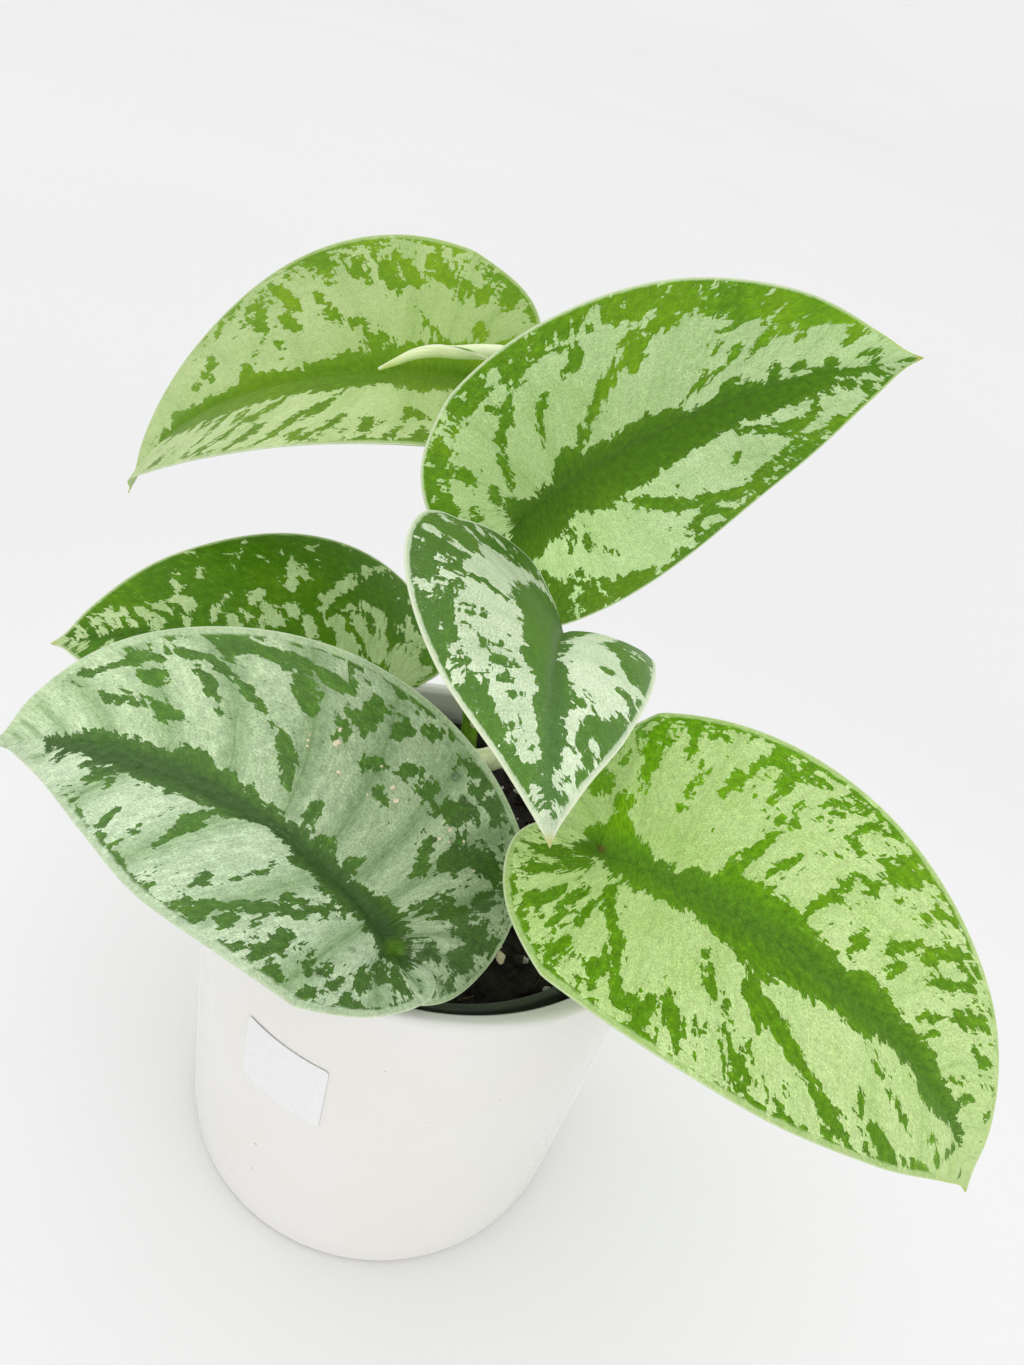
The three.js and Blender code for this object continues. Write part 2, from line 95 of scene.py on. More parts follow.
# The leaves: where each meets its petiole (mm), how it points, turns, folds, curls and arches
# (degrees), with pairs for its left and right halves. "closed" draws the two lobes together at
# the petiole. The finish:
#   "gloss", "pebbled" and "gritty": the shine, and how deep the tone of the cells and grit goes.
#   "quilting" and "side_veins": how far the face rises between its side veins (mm), and how many
#       there are on the left and the right. "folds": where their painted shade begins, and its depth.
#   "hem": width (mm) and strength of the pale zone along the margin; "hem_depth" (mm) how far
#       the green goes in there; "margin": strength of the thin line on the edge itself.
#   "rib_fade": how far the midrib's dark tone reaches (mm) and its strength; "rib_shift": how
#       far that tone lies to the left of the midrib, as (vein, mm).
#   "spot" and "scar": strength of the fresh spot and of the brown one where the petiole joins.
#   "crease_shade": depth of the creases' painted shade. "bold": how far (mm) every green gap is widened.
# Then the markings of each half, in hundredths: vein runs 0 to 100 from base to tip, and reach
# 0 to 100 from midrib to margin. The ground is silver unless "ground" says green. "band" is the
# plain stripe beside the midrib and "hem" where the plain zone along the margin begins, as
# (vein, reach) pairs, and "mottle" where the silver starts to break up, with how far, in mm.
# "green" gaps and "silver" splashes are brush strokes: vein and reach of each point in turn,
# then a width in mm. "light" is painted light and shade along the half, as (vein, silver, green):
# how much lighter or darker its silver and green are drawn there. "white" is how much of its
# silver is the whiter kind.
LEAVES = {
    "leaf_back_left": {
        "at": (-28, 69, 216), "heading": 194, "pitch": -1, "roll": -22, "length": 125, "half_width": (38, 44),
        "lobe": (0.17, 0.17), "fold_base": (12, 18), "fold_tip": (12, 9), "curl": (-7, 8), "lift": (0, -9),
        "arch": 75, "sweep": -3, "twist": 2, "quilting": 0.16, "finish": "light", "gloss": 0.1, "hem": (1.9, 0.7),
        "margin": 0.6, "rib_fade": (7, 0.6), "pebbled": 0.15, "gritty": 0.13, "bold": 0.35,
        "tones": {
            "green": (0.135, 0.29, 0.008), "rib": (0.11, 0.25, 0.006), "fresh": (0.27, 0.44, 0.01),
            "silver": (0.5, 0.66, 0.27), "silver_low": (0.37, 0.54, 0.17),
        },
        "marks": ({
            "band": (
                (0, 50), (15, 32), (25, 24), (33, 20), (36, 27), (40, 21), (43, 15), (46, 22), (50, 26), (55, 29),
                (60, 35), (65, 41), (68, 42), (72, 26), (76, 3), (78, 0), (100, 0),
            ),
            "hem": ((0, 92), (40, 93), (60, 100), (100, 100)),
            "mottle": (
                (0, 50, 1.2), (35, 60, 1.2), (45, 55, 1.6), (58, 50, 1.7), (66, 60, 1.2), (72, 90, 0.6), (80, 100, 0),
            ),
            "green": (
                (54, 30, 56, 62, 1.8), (58, 28, 57, 56, 2), (60, 33, 59, 72, 2.2), (62, 36, 62, 52, 2.2),
                (65, 32, 64, 50, 2.4), (48, 30, 49, 62, 1.8), (50, 52, 50, 95, 2.6), (45, 60, 46, 95, 2.4),
                (53, 65, 53, 95, 2.4), (56, 60, 56, 95, 2), (42, 65, 41, 95, 1.8), (38, 50, 36, 63, 3),
                (38, 62, 39, 95, 2), (36, 75, 36, 95, 2.4), (69, 30, 68, 60, 2), (28, 30, 30, 80, 3),
                (18, 50, 20, 90, 5), (10, 55, 12, 75, 5),
            ),
            "white": 0.6,
            "light": ((15, 0.92, 0.96), (32, 1.02, 0.81), (47, 1.08, 0.82), (62, 1.04, 0.84), (80, 1.06, 1)),
        }, {
            "band": (
                (0, 40), (15, 40), (20, 34), (30, 22), (36, 20), (41, 16), (46, 12), (50, 12), (55, 8), (58, 12),
                (60, 20), (62, 14), (67, 14), (70, 28), (72, 12), (74, 18), (76, 6), (78, 0), (100, 0),
            ),
            "hem": ((0, 90), (25, 92), (40, 92), (55, 95), (65, 100), (100, 100)),
            "mottle": (
                (0, 50, 1), (18, 55, 1.2), (25, 52, 1.7), (40, 48, 1.9), (50, 50, 1.9), (60, 60, 1.8), (66, 75, 1.2),
                (72, 95, 0.6), (80, 100, 0),
            ),
            "green": (
                (70, 10, 70, 36, 2.8), (60, 12, 60, 27, 2.6), (64, 34, 64, 52, 2.4), (63, 48, 62, 67, 2.4),
                (66, 36, 66, 45, 1.6), (73, 12, 73, 25, 2), (56, 18, 56, 36, 1.8), (58, 35, 56, 50, 57, 76, 2),
                (56, 55, 55, 80, 2.2), (53, 38, 54, 56, 2.4), (52, 55, 53, 90, 2.6), (49, 44, 50, 63, 2.4),
                (48, 66, 47, 95, 3.2), (45, 12, 46, 36, 2.4), (47, 30, 50, 46, 1.8), (43, 14, 44, 30, 2),
                (44, 60, 45, 78, 3.2), (40, 52, 41, 64, 3.2), (42, 66, 40, 82, 3.6), (38, 60, 39, 76, 3.2),
                (36, 74, 35, 90, 3.6), (33, 62, 35, 77, 3.6), (31, 56, 31, 72, 3), (28, 60, 28, 80, 2.8),
                (29, 82, 27, 95, 3.4), (24, 72, 24, 95, 4.5), (22, 36, 24, 45, 3), (33, 24, 36, 32, 38, 42, 1.8),
                (60, 80, 58, 95, 3), (12, 45, 14, 70, 5),
            ),
            "silver": ((46, 80, 46, 88, 2), (37, 84, 38, 91, 1.8)), "white": 0.25,
            "light": (
                (15, 0.95, 1.02), (32, 0.97, 1.06), (47, 0.92, 0.94), (62, 0.97, 1.03), (77, 1.04, 1.06),
                (92, 0.97, 1.1),
            ),
        }),
    },
    "leaf_upper_right": {
        "at": (-3, 36, 197), "heading": 41, "pitch": 38, "roll": 81, "length": 118, "half_width": (41, 42),
        "lobe": (0.18, 0.16), "fold_base": (5, 7), "fold_tip": (11, 9), "curl": (23, 11), "lift": (15, -6),
        "arch": -18, "sweep": -25, "twist": 1, "quilting": 0.14, "finish": "light", "gloss": 0.12, "closed": 0.9,
        "hem": (0.9, 0.7), "margin": 0.7, "rib_fade": (17, 0.9), "pebbled": 0.2, "gritty": 0.21, "bold": 0.1,
        "tones": {
            "green": (0.11, 0.27, 0.006), "rib": (0.06, 0.165, 0.004), "fresh": (0.23, 0.43, 0.006),
            "silver": (0.54, 0.75, 0.33), "silver_low": (0.4, 0.62, 0.21),
        },
        "marks": ({
            "band": (
                (0, 45), (10, 28), (17, 30), (22, 30), (25, 16), (28, 12), (32, 10), (36, 12), (39, 22), (41, 26),
                (44, 14), (48, 15), (52, 18), (55, 20), (58, 10), (60, 12), (62, 22), (65, 18), (67, 14), (70, 16),
                (73, 24), (76, 12), (79, 3), (81, 0), (90, 0), (91, 6), (93, 60), (95, 110), (100, 110),
            ),
            "hem": (
                (0, 72), (20, 78), (35, 82), (45, 85), (50, 80), (56, 80), (62, 71), (67, 76), (70, 90), (76, 96),
                (80, 100), (100, 100),
            ),
            "mottle": ((0, 70, 0.6), (70, 80, 0.6), (90, 100, 0)),
            "green": (
                (27, 28, 31, 50, 38, 82, 2.4), (43, 18, 46, 40, 52, 82, 3), (48, 62, 50, 78, 2),
                (60, 38, 57, 20, 2.4), (58, 50, 60, 82, 2), (61, 14, 62, 27, 2.6), (66, 37, 67, 16, 3),
                (69, 36, 70, 20, 2.4), (73, 26, 74, 10, 3.2), (67, 55, 66, 79, 2.2), (72, 70, 73, 90, 3),
                (22, 58, 24, 74, 3.6), (18, 33, 23, 41, 2.8), (43, 64, 44, 78, 3), (40, 60, 39, 52, 1.6),
                (81, 60, 77, 47, 2.6), (80, 48, 83, 10, 2), (82, 40, 84, 4, 1.6), (53, 70, 53, 80, 2.6),
                (34, 70, 33, 80, 2), (12, 60, 16, 64, 3), (50, 54, 52.5, 84, 4.4), (46, 34, 48, 54, 2.6),
                (60.5, 42, 61, 58, 2.4), (62.5, 46, 63.2, 66, 2.4), (37.5, 34, 38.5, 52, 1.8),
                (69, 20, 68.5, 36, 2.8), (64.5, 60, 65, 72, 2),
            ),
            "silver": (
                (35, 86, 36, 93, 2), (45, 87, 46, 94, 2.2), (27, 84, 28, 91, 2), (55, 86, 55, 92, 1.8),
                (20, 83, 21, 88, 2),
            ),
            "white": 0.35,
            "light": (
                (15, 1, 1), (32, 0.98, 0.93), (47, 0.95, 0.96), (62, 0.91, 1.08), (77, 1.06, 1.3), (92, 1.04, 1.4),
            ),
        }, {
            "band": (
                (0, 60), (15, 50), (22, 40), (25, 35), (28, 27), (32, 27), (36, 20), (40, 19), (42, 25), (45, 29),
                (50, 27), (56, 24), (62, 25), (66, 28), (70, 34), (73, 28), (76, 24), (79, 31), (82, 26), (85, 20),
                (88, 14), (91, 12), (93, 60), (95, 110), (100, 110),
            ),
            "hem": (
                (0, 70), (25, 45), (28, 58), (33, 64), (37, 70), (41, 80), (46, 92), (50, 80), (54, 68), (58, 76),
                (62, 76), (66, 70), (70, 80), (75, 86), (80, 70), (86, 85), (92, 90), (100, 100),
            ),
            "mottle": ((0, 60, 0.8), (60, 65, 0.9), (80, 60, 1), (90, 90, 0.5), (100, 100, 0)),
            "green": (
                (46, 26, 50, 45, 54, 66, 60, 92, 4.4), (62, 30, 65, 48, 69, 63, 2.8), (70, 55, 66, 65, 2.6),
                (60, 50, 59, 58, 2.2), (75, 22, 76, 51, 3.2), (73, 30, 73, 46, 1.8), (78, 60, 79, 74, 3.4),
                (82, 28, 83, 62, 2.2), (38, 36, 37, 47, 2.2), (36, 26, 34, 37, 2.4), (40, 50, 41, 62, 1.6),
                (33, 55, 35, 66, 2.4), (71, 38, 70, 57, 2), (53, 42, 52, 51, 1.8), (86, 40, 87, 70, 1.8),
                (10, 50, 16, 60, 6),
            ),
            "silver": (
                (49, 84, 50, 95, 2.4), (52, 79, 54, 92, 2.8), (55, 77, 56, 87, 2.4), (60, 87, 61, 94, 1.8),
                (72, 80, 73, 92, 3), (36, 82, 37, 90, 2), (65, 76, 64, 82, 1.6), (31, 74, 31, 80, 2),
                (80, 76, 80, 86, 2),
            ),
            "white": 0.5,
            "light": ((32, 1.3, 0.86), (47, 1.13, 0.95), (62, 0.96, 0.93), (77, 0.96, 1.1), (92, 0.78, 1.4)),
        }),
    },
    "leaf_middle": {
        "at": (13, -5, 193), "heading": -97, "pitch": 31, "roll": 6, "length": 88, "half_width": (21, 38),
        "lobe": (0.2, 0.25), "fold_base": (17, 39), "fold_tip": (10, 12), "curl": (40, 11), "lift": (-12, 14),
        "arch": 41, "sweep": 14, "twist": -1, "quilting": 0.18, "finish": "deep", "gloss": 0.2, "hem": (1.2, 0.85),
        "margin": 0.9, "rib_fade": (5, 0.7), "pebbled": 0.14, "gritty": 0.21, "bold": -0.3, "hem_depth": 1.4,
        "tones": {
            "green": (0.078, 0.195, 0.02), "rib": (0.074, 0.17, 0.04), "fresh": (0.13, 0.28, 0.02),
            "silver": (0.68, 0.81, 0.53), "silver_low": (0.5, 0.65, 0.38),
        },
        "marks": ({
            "band": (
                (0, 60), (30, 40), (45, 15), (50, 9), (55, 10), (58, 12), (62, 20), (65, 30), (67, 21), (70, 22),
                (73, 33), (75, 31), (77, 10), (79, 2), (82, 2), (84, 18), (86, 4), (88, 0), (100, 0),
            ),
            "hem": (
                (0, 90), (40, 50), (46, 42), (50, 62), (55, 82), (60, 86), (64, 70), (67, 54), (70, 52), (73, 72),
                (77, 78), (85, 80), (89, 90), (92, 100), (100, 100),
            ),
            "mottle": ((0, 60, 1), (50, 60, 1.2), (70, 70, 1), (85, 90, 0.6), (100, 100, 0)),
            "green": (
                (65, 24, 64, 52, 2.6), (62, 38, 63, 53, 1.6), (55, 42, 54, 62, 3.2), (57, 70, 56, 86, 2.8),
                (69, 50, 72, 63, 3), (66, 52, 65, 80, 4.6), (64, 74, 66, 94, 4), (69, 66, 68, 90, 3.6),
                (78, 45, 78, 61, 3), (83, 3, 84, 37, 3), (81, 60, 81, 80, 3), (88, 28, 90, 60, 1.6),
                (90, 2, 90, 40, 1.8),
            ),
            "silver": (
                (68, 69, 69, 77, 2.6), (54, 81, 54, 91, 2.6), (60, 87, 61, 93, 2), (77, 84, 77, 90, 1.8),
            ),
            "white": 0.3, "light": ((45, 1.06, 1.02), (62, 1.09, 1.04), (77, 1.1, 1.18), (92, 0.95, 1.2)),
        }, {
            "band": (
                (0, 60), (20, 50), (28, 38), (35, 36), (42, 37), (47, 35), (50, 32), (55, 27), (58, 27), (60, 30),
                (62, 24), (66, 20), (70, 22), (72, 28), (75, 25), (78, 31), (80, 28), (83, 18), (86, 12), (89, 3),
                (91, 0), (100, 0),
            ),
            "hem": (
                (0, 75), (25, 60), (31, 72), (36, 68), (40, 60), (44, 66), (48, 64), (52, 68), (56, 74), (60, 74),
                (64, 76), (68, 68), (72, 72), (75, 64), (78, 62), (80, 70), (83, 88), (88, 100), (100, 100),
            ),
            "mottle": ((0, 60, 0.8), (45, 60, 1.2), (60, 55, 1.4), (70, 60, 1.2), (80, 80, 1), (90, 100, 0)),
            "green": (
                (50, 34, 49, 52, 50, 70, 3.2), (56, 52, 57, 76, 2.6), (65, 46, 66, 62, 2.6), (40, 60, 41, 72, 3.4),
                (55, 58, 56, 71, 2.4), (57, 26, 58, 39, 2.4), (60, 40, 60, 64, 2), (62, 30, 63, 45, 2),
                (62, 43, 63, 57, 3.4), (65, 40, 65, 49, 1.8), (67, 34, 67, 57, 3), (64, 60, 65, 71, 2.6),
                (59, 60, 58, 75, 2.4), (70, 44, 70, 53, 2), (71, 48, 71, 61, 2.2), (74, 35, 74, 45, 2),
                (72, 70, 70, 82, 2.4), (77, 57, 78, 74, 4), (76, 66, 76, 82, 3), (79, 37, 79, 57, 2.6),
                (81, 5, 82, 37, 2.8), (84, 18, 85, 33, 3.2), (87, 26, 86, 43, 2.4), (84, 84, 83, 94, 3),
            ),
            "silver": (
                (44, 66, 43, 78, 2.8), (51, 79, 52, 70, 4), (54, 92, 55, 86, 2.6), (44, 92, 44, 86, 2.2),
                (47, 96, 47, 92, 1.6), (60, 91, 60, 88, 1.4), (61, 84, 61, 80, 1.6), (29, 85, 28, 94, 3),
                (24, 78, 26, 90, 3), (33, 77, 32, 85, 2.6), (36, 89, 37, 94, 1.8), (65, 64, 65, 74, 2.2),
                (68, 87, 69, 92, 1.6), (63, 11, 63, 18, 2.8),
            ),
            "white": 0.2,
            "light": (
                (15, 0.85, 0.82), (35, 0.85, 0.8), (47, 0.97, 0.87), (62, 1.01, 1.02), (77, 1.1, 1.16),
                (92, 0.86, 1.2),
            ),
        }),
    },
    "leaf_left": {
        "at": (-25, 30, 137), "heading": 203, "pitch": 29, "roll": -26, "length": 97, "half_width": (38, 41),
        "lobe": (0.17, 0.17), "fold_base": (22, 7), "fold_tip": (14, 12), "curl": (4, 19), "lift": (0, -3),
        "arch": 62, "sweep": 6, "twist": -2, "quilting": 0.16, "finish": "deep", "gloss": 0.12, "hem": (1.2, 0.6),
        "margin": 0.9, "rib_fade": (4, 0.5), "pebbled": 0.2, "gritty": 0.12,
        "tones": {
            "green": (0.076, 0.205, 0.004), "rib": (0.05, 0.14, 0.012), "fresh": (0.16, 0.34, 0.006),
            "silver": (0.58, 0.74, 0.37), "silver_low": (0.38, 0.55, 0.2),
        },
        "marks": ({
            "band": ((0, 40), (30, 20), (80, 10), (88, 4), (90, 0), (100, 0)), "ground": "green",
            "silver": (
                (82, 30, 81, 70, 3), (87, 40, 85, 80, 3), (12, 50, 15, 75, 7), (25, 30, 28, 60, 6),
                (35, 35, 36, 75, 4), (44, 30, 46, 60, 5), (52, 50, 54, 85, 3), (60, 25, 61, 60, 3),
                (68, 40, 69, 80, 2.5), (75, 20, 75, 50, 2.5), (22, 75, 25, 90, 4), (40, 80, 41, 93, 2.5),
                (58, 70, 58, 90, 2.4), (30, 60, 31, 80, 3), (65, 15, 65, 35, 2.4),
            ),
        }, {
            "band": ((0, 30), (12, 10), (50, 8), (88, 4), (90, 0), (100, 0)), "ground": "green",
            "silver": (
                (18, 14, 16, 50, 8), (12, 30, 12, 72, 4.4), (28, 11, 27, 40, 5.4), (23, 11, 23, 48, 5),
                (25, 41, 22, 51, 5.6), (27, 50, 30, 67, 3.6), (31, 48, 30, 59, 2.8), (25, 55, 24, 63, 4),
                (23, 56, 22, 72, 2.6), (37, 11, 35, 31, 5), (42, 10, 45, 23, 7.5), (40, 25, 43, 41, 5),
                (36, 37, 37, 51, 3.6), (38, 46, 40, 53, 2.6), (44, 39, 42, 47, 3), (49, 36, 46, 52, 42, 71, 3.4),
                (47, 27, 44, 35, 3), (50, 15, 51, 29, 2.6), (52, 51, 51, 71, 2.6), (49, 57, 51, 67, 2),
                (53, 35, 53, 27, 2.8), (55, 15, 56, 35, 3.4), (57, 17, 59, 31, 2.8), (58, 35, 56, 47, 3),
                (60, 13, 61, 27, 2.8), (61, 35, 60, 45, 2.2), (63, 17, 62, 35, 2.6), (64, 37, 66, 47, 2.6),
                (66, 13, 66, 31, 2.8), (67, 33, 68, 45, 2.4), (70, 11, 69, 31, 2.6), (70, 35, 71, 51, 2.6),
                (72, 17, 73, 35, 2.2), (73, 51, 72, 61, 2.2), (75, 19, 76, 45, 2.6), (76, 45, 75, 65, 2.6),
                (79, 13, 78, 45, 2.8), (80, 47, 77, 67, 2.8), (84, 19, 83, 51, 2.4), (86, 30, 84, 77, 2.8),
                (88, 10, 87, 40, 2.6), (40, 77, 38, 88, 36, 96, 2.6), (41, 79, 40, 85, 1.8), (58, 67, 58, 81, 2.4),
                (57, 81, 55, 95, 2), (54, 73, 55, 81, 1.8), (62, 69, 61, 77, 1.8), (65, 59, 65, 69, 1.8),
                (48, 87, 46, 94, 1.8), (20, 88, 18, 95, 3),
            ),
        }),
    },
    "leaf_front_left": {
        "at": (-4, -64, 145), "heading": 143, "pitch": 20, "roll": 12, "length": 119, "half_width": (33, 45),
        "lobe": (0.15, 0.18), "fold_base": (19, 12), "fold_tip": (7, 21), "curl": (21, 3), "lift": (45, -51),
        "arch": 56, "sweep": 30, "twist": -53, "quilting": 0.85, "finish": "deep", "gloss": 0.2, "closed": 0.9,
        "hem": (2.3, 0.85), "margin": 0.35, "rib_fade": (7, 0.95), "pebbled": 0.22, "gritty": 0.23, "bold": 0.3,
        "spot": 0.9, "side_veins": (9, 17), "folds": (1.0, 0.62), "crease_shade": 0.13,
        "rib_shift": ((0, 0), (35, 0), (50, 2.2), (60, 3), (75, 2.8), (85, 1.5), (100, 0)),
        "tones": {
            "green": (0.08, 0.182, 0.03), "rib": (0.05, 0.112, 0.026), "fresh": (0.115, 0.27, 0.016),
            "silver": (0.63, 0.79, 0.48), "silver_low": (0.43, 0.59, 0.315),
        },
        "marks": ({
            "band": (
                (0, 70), (10, 60), (15, 45), (20, 25), (25, 18), (30, 12), (34, 10), (37, 14), (40, 18), (43, 18),
                (45, 10), (47, 20), (49, 12), (51, 6), (53, 8), (55, 20), (57, 26), (59, 24), (61, 34), (63, 36),
                (65, 40), (68, 36), (72, 40), (76, 30), (80, 28), (82, 16), (84, 5), (87, 0), (100, 0),
            ),
            "hem": ((0, 93), (30, 92), (50, 95), (70, 97), (80, 100), (100, 100)),
            "mottle": (
                (0, 50, 1.2), (15, 45, 1.5), (25, 45, 1.7), (35, 50, 1.8), (45, 62, 1.5), (55, 80, 1.3),
                (70, 70, 1.1), (78, 90, 0.8), (85, 100, 0),
            ),
            "green": (
                (56.8, 24, 55.8, 46, 55, 72, 3.2), (61.6, 68, 61.2, 80, 2), (58.2, 68, 57.6, 92, 2.2),
                (61, 84, 58, 98, 2.4), (65, 90, 62, 97, 1.8), (57, 95, 52, 96, 47, 95, 2), (52.2, 76, 51.8, 86, 1.8),
                (37.2, 8, 39.5, 40, 42.5, 60, 45.6, 82, 47, 95, 3.2), (41.6, 34, 42.4, 40, 3),
                (43.8, 60, 43.4, 72, 3.2), (42.8, 74, 42, 86, 4), (44.6, 80, 44, 92, 3), (38.4, 60, 37.2, 72, 4.2),
                (37.8, 80, 37, 90, 3.2), (34.2, 60, 33, 76, 3.4), (31.8, 58, 31.2, 66, 2.8),
                (29.4, 66, 28.6, 80, 3.4), (31.8, 82, 31, 90, 2.6), (35.4, 84, 34.4, 92, 2.6),
                (47.4, 28, 46.6, 60, 1.2), (49, 60, 48, 72, 1.4), (67.8, 36, 68.2, 62, 2.6), (70.5, 35, 70, 58, 2.2),
                (74.5, 30, 74, 60, 2.4), (78, 30, 77.5, 50, 2.2), (66, 50, 65.4, 58, 1.8), (26, 40, 25, 76, 3.2),
                (22, 30, 21, 60, 4), (17, 45, 16, 84, 4.4), (27, 84, 25, 96, 2.6),
            ),
            "silver": (
                (13, 60, 14, 92, 3.6), (8, 70, 9, 92, 3), (58.6, 26, 58, 44, 2.4), (66.6, 30, 66.3, 40, 1.6),
            ),
            "white": 0.42, "light": ((15, 0.94, 0.95), (35, 0.98, 0.95), (50, 1.05, 1.05), (75, 1.05, 1.15)),
        }, {
            "band": (
                (0, 60), (10, 30), (18, 14), (25, 12), (30, 16), (35, 12), (38, 7), (42, 5), (46, 6), (50, 7),
                (53, 4), (55, 4), (56.5, 9), (57.5, 7), (58.5, 12), (60, 9), (61, 17), (63, 19), (64.5, 9), (66, 7),
                (68, 12), (71, 18), (74, 19), (76, 13), (80, 9), (84, 4), (86, 0), (100, 0),
            ),
            "hem": ((0, 95), (30, 93), (60, 94), (75, 100), (100, 100)),
            "mottle": (
                (0, 30, 1.9), (15, 28, 2.2), (25, 28, 2.2), (35, 34, 2.1), (42, 45, 1.6), (50, 50, 1.2),
                (65, 60, 1.1), (72, 80, 0.8), (80, 95, 0.5), (90, 100, 0),
            ),
            "green": (
                (69.5, 60, 66.5, 46, 2.8), (66, 52, 65, 37, 63.5, 34, 2.4), (65.5, 72, 63.5, 67, 3),
                (60.8, 70, 60.3, 42, 3.8), (55.4, 44, 53.4, 19, 3.4), (54.2, 78, 53.4, 62, 5),
                (70, 84, 66, 83, 63, 81, 1.6), (62, 83, 60, 81, 1.4), (60, 80, 57.5, 60, 56, 46, 0.8),
                (59, 94, 57, 88, 5), (57, 88, 53, 85, 2.4), (53, 86, 50.3, 79, 3.2), (50.9, 53, 50.4, 70, 3.4),
                (49.6, 67, 48.2, 83, 3.8), (47.2, 70, 45.6, 78, 3), (47.8, 50, 46.4, 60, 4), (46.2, 44, 45, 42, 2),
                (44.8, 57, 43.4, 68, 2.8), (42.6, 58, 41.6, 70, 3.2), (39.4, 60, 38, 72, 5), (36.5, 57, 36, 62, 2),
                (44.6, 84, 43.4, 93, 2.6), (40.6, 87, 39.6, 95, 2.6), (37.2, 86, 35.8, 96, 4.4),
                (38.5, 46, 36.2, 29, 3), (35.4, 42, 34.4, 60, 3), (33.6, 60, 32.4, 80, 5), (29.4, 56, 28.6, 72, 4.4),
                (27.5, 28, 26.5, 60, 3), (24, 48, 22.5, 86, 6), (18, 22, 16, 50, 4), (19, 55, 18, 84, 6),
                (50.8, 8, 50.2, 21, 2.8), (48.6, 4, 47, 9, 2.4), (43.6, 3, 43, 11, 3), (31, 20, 30, 44, 3),
                (32, 88, 30, 98, 3), (12, 30, 10, 70, 5),
            ),
            "silver": ((18, 14, 20, 28, 2.4), (12, 45, 14, 67, 3), (7, 70, 6, 95, 4)),
            "light": (
                (15, 0.68, 0.76), (35, 0.8, 0.88), (50, 0.74, 1.04), (57, 0.87, 1.06), (65, 0.97, 1.08),
                (78, 1.05, 1.2),
            ),
        }),
    },
    "leaf_front_right": {
        "at": (35, -26, 152), "heading": -15, "pitch": 8, "roll": 9, "length": 143, "half_width": (48, 39),
        "lobe": (0.16, 0.14), "fold_base": (12, 11), "fold_tip": (10, 2), "curl": (10, 24), "lift": (-38, 40),
        "arch": 73, "sweep": -1, "twist": 26, "quilting": 0.25, "finish": "light", "gloss": 0.1, "closed": 0.9,
        "hem": (2.0, 0.75), "margin": 0.5, "rib_fade": (9, 0.85), "pebbled": 0.27, "gritty": 0.26, "bold": 0.15,
        "scar": 0.7,
        "tones": {
            "green": (0.115, 0.295, 0.002), "rib": (0.09, 0.225, 0.012), "fresh": (0.21, 0.43, 0.006),
            "silver": (0.54, 0.73, 0.28), "silver_low": (0.41, 0.62, 0.17),
        },
        "marks": ({
            "band": (
                (0, 60), (10, 42), (15, 30), (20, 22), (24, 28), (28, 24), (30, 15), (33, 10), (36, 5), (40, 6),
                (44, 12), (47, 20), (50, 20), (55, 15), (58, 15), (60, 20), (65, 17), (68, 29), (70, 16), (73, 22),
                (78, 22), (80, 10), (82, 0), (100, 0),
            ),
            "hem": ((0, 95), (25, 92), (60, 94), (75, 100), (100, 100)),
            "mottle": (
                (0, 50, 1), (20, 45, 1.2), (30, 45, 1.9), (50, 40, 1.9), (62, 40, 2), (70, 60, 1.8), (76, 90, 1),
                (84, 100, 0),
            ),
            "green": (
                (45, 8, 47, 56, 2.8), (46, 35, 46, 76, 2), (31, 58, 32, 92, 5), (22, 51, 21, 76, 7),
                (26, 26, 27, 41, 3.6), (30, 40, 30, 56, 2.4), (36, 37, 37, 61, 2.2), (40, 50, 42, 96, 2.8),
                (48, 24, 50, 51, 2.6), (53, 12, 53, 51, 2.4), (54, 60, 54, 96, 2.8), (57, 18, 57, 36, 2.4),
                (58, 36, 59, 56, 2.4), (60, 29, 60, 46, 2), (60, 60, 60, 96, 3.2), (62, 54, 63, 86, 3.2),
                (64, 29, 65, 46, 2.2), (65, 51, 66, 91, 3.2), (66, 18, 66, 36, 2.6), (68, 70, 70, 91, 2.8),
                (70, 29, 71, 51, 1.8), (73, 22, 73, 51, 2.2), (75, 80, 74, 91, 2.2), (44, 60, 44, 96, 2.6),
                (35, 66, 35, 94, 2.6), (50, 70, 50, 94, 2.4), (57, 75, 57, 95, 2.4), (27, 62, 28, 74, 3),
            ),
            "silver": ((19, 72, 18, 84, 2.4),), "white": 0.35,
            "light": ((15, 1.35, 1.25), (32, 1.06, 1.15), (47, 1, 1), (62, 1.02, 0.84), (80, 1.02, 0.9)),
        }, {
            "band": (
                (0, 50), (10, 45), (15, 38), (19, 15), (24, 13), (28, 17), (32, 20), (38, 18), (44, 17), (47, 22),
                (50, 30), (53, 22), (57, 25), (61, 24), (63, 13), (67, 13), (70, 28), (73, 22), (75, 8), (78, 16),
                (80, 5), (82, 0), (100, 0),
            ),
            "hem": ((0, 95), (30, 93), (70, 96), (80, 100), (100, 100)),
            "mottle": (
                (0, 40, 1.6), (15, 30, 1.8), (25, 40, 1.7), (35, 50, 1.7), (45, 55, 1.7), (55, 62, 1.9),
                (68, 65, 1.8), (76, 60, 1), (82, 100, 0),
            ),
            "green": (
                (30, 20, 33, 42, 36, 60, 37, 82, 3), (36, 50, 34, 67, 2.2),
                (49, 18, 50, 40, 53, 55, 55, 72, 58, 90, 4.2), (50, 44, 50, 58, 4), (45, 30, 46, 61, 2.2),
                (47, 49, 47, 71, 2), (62, 29, 63, 41, 2), (64, 47, 67, 67, 2.4), (60, 59, 60, 73, 3.6),
                (61, 74, 65, 95, 3.6), (20, 18, 18, 45, 19, 80, 3.8), (15, 40, 14, 82, 4), (27, 39, 27, 61, 2.8),
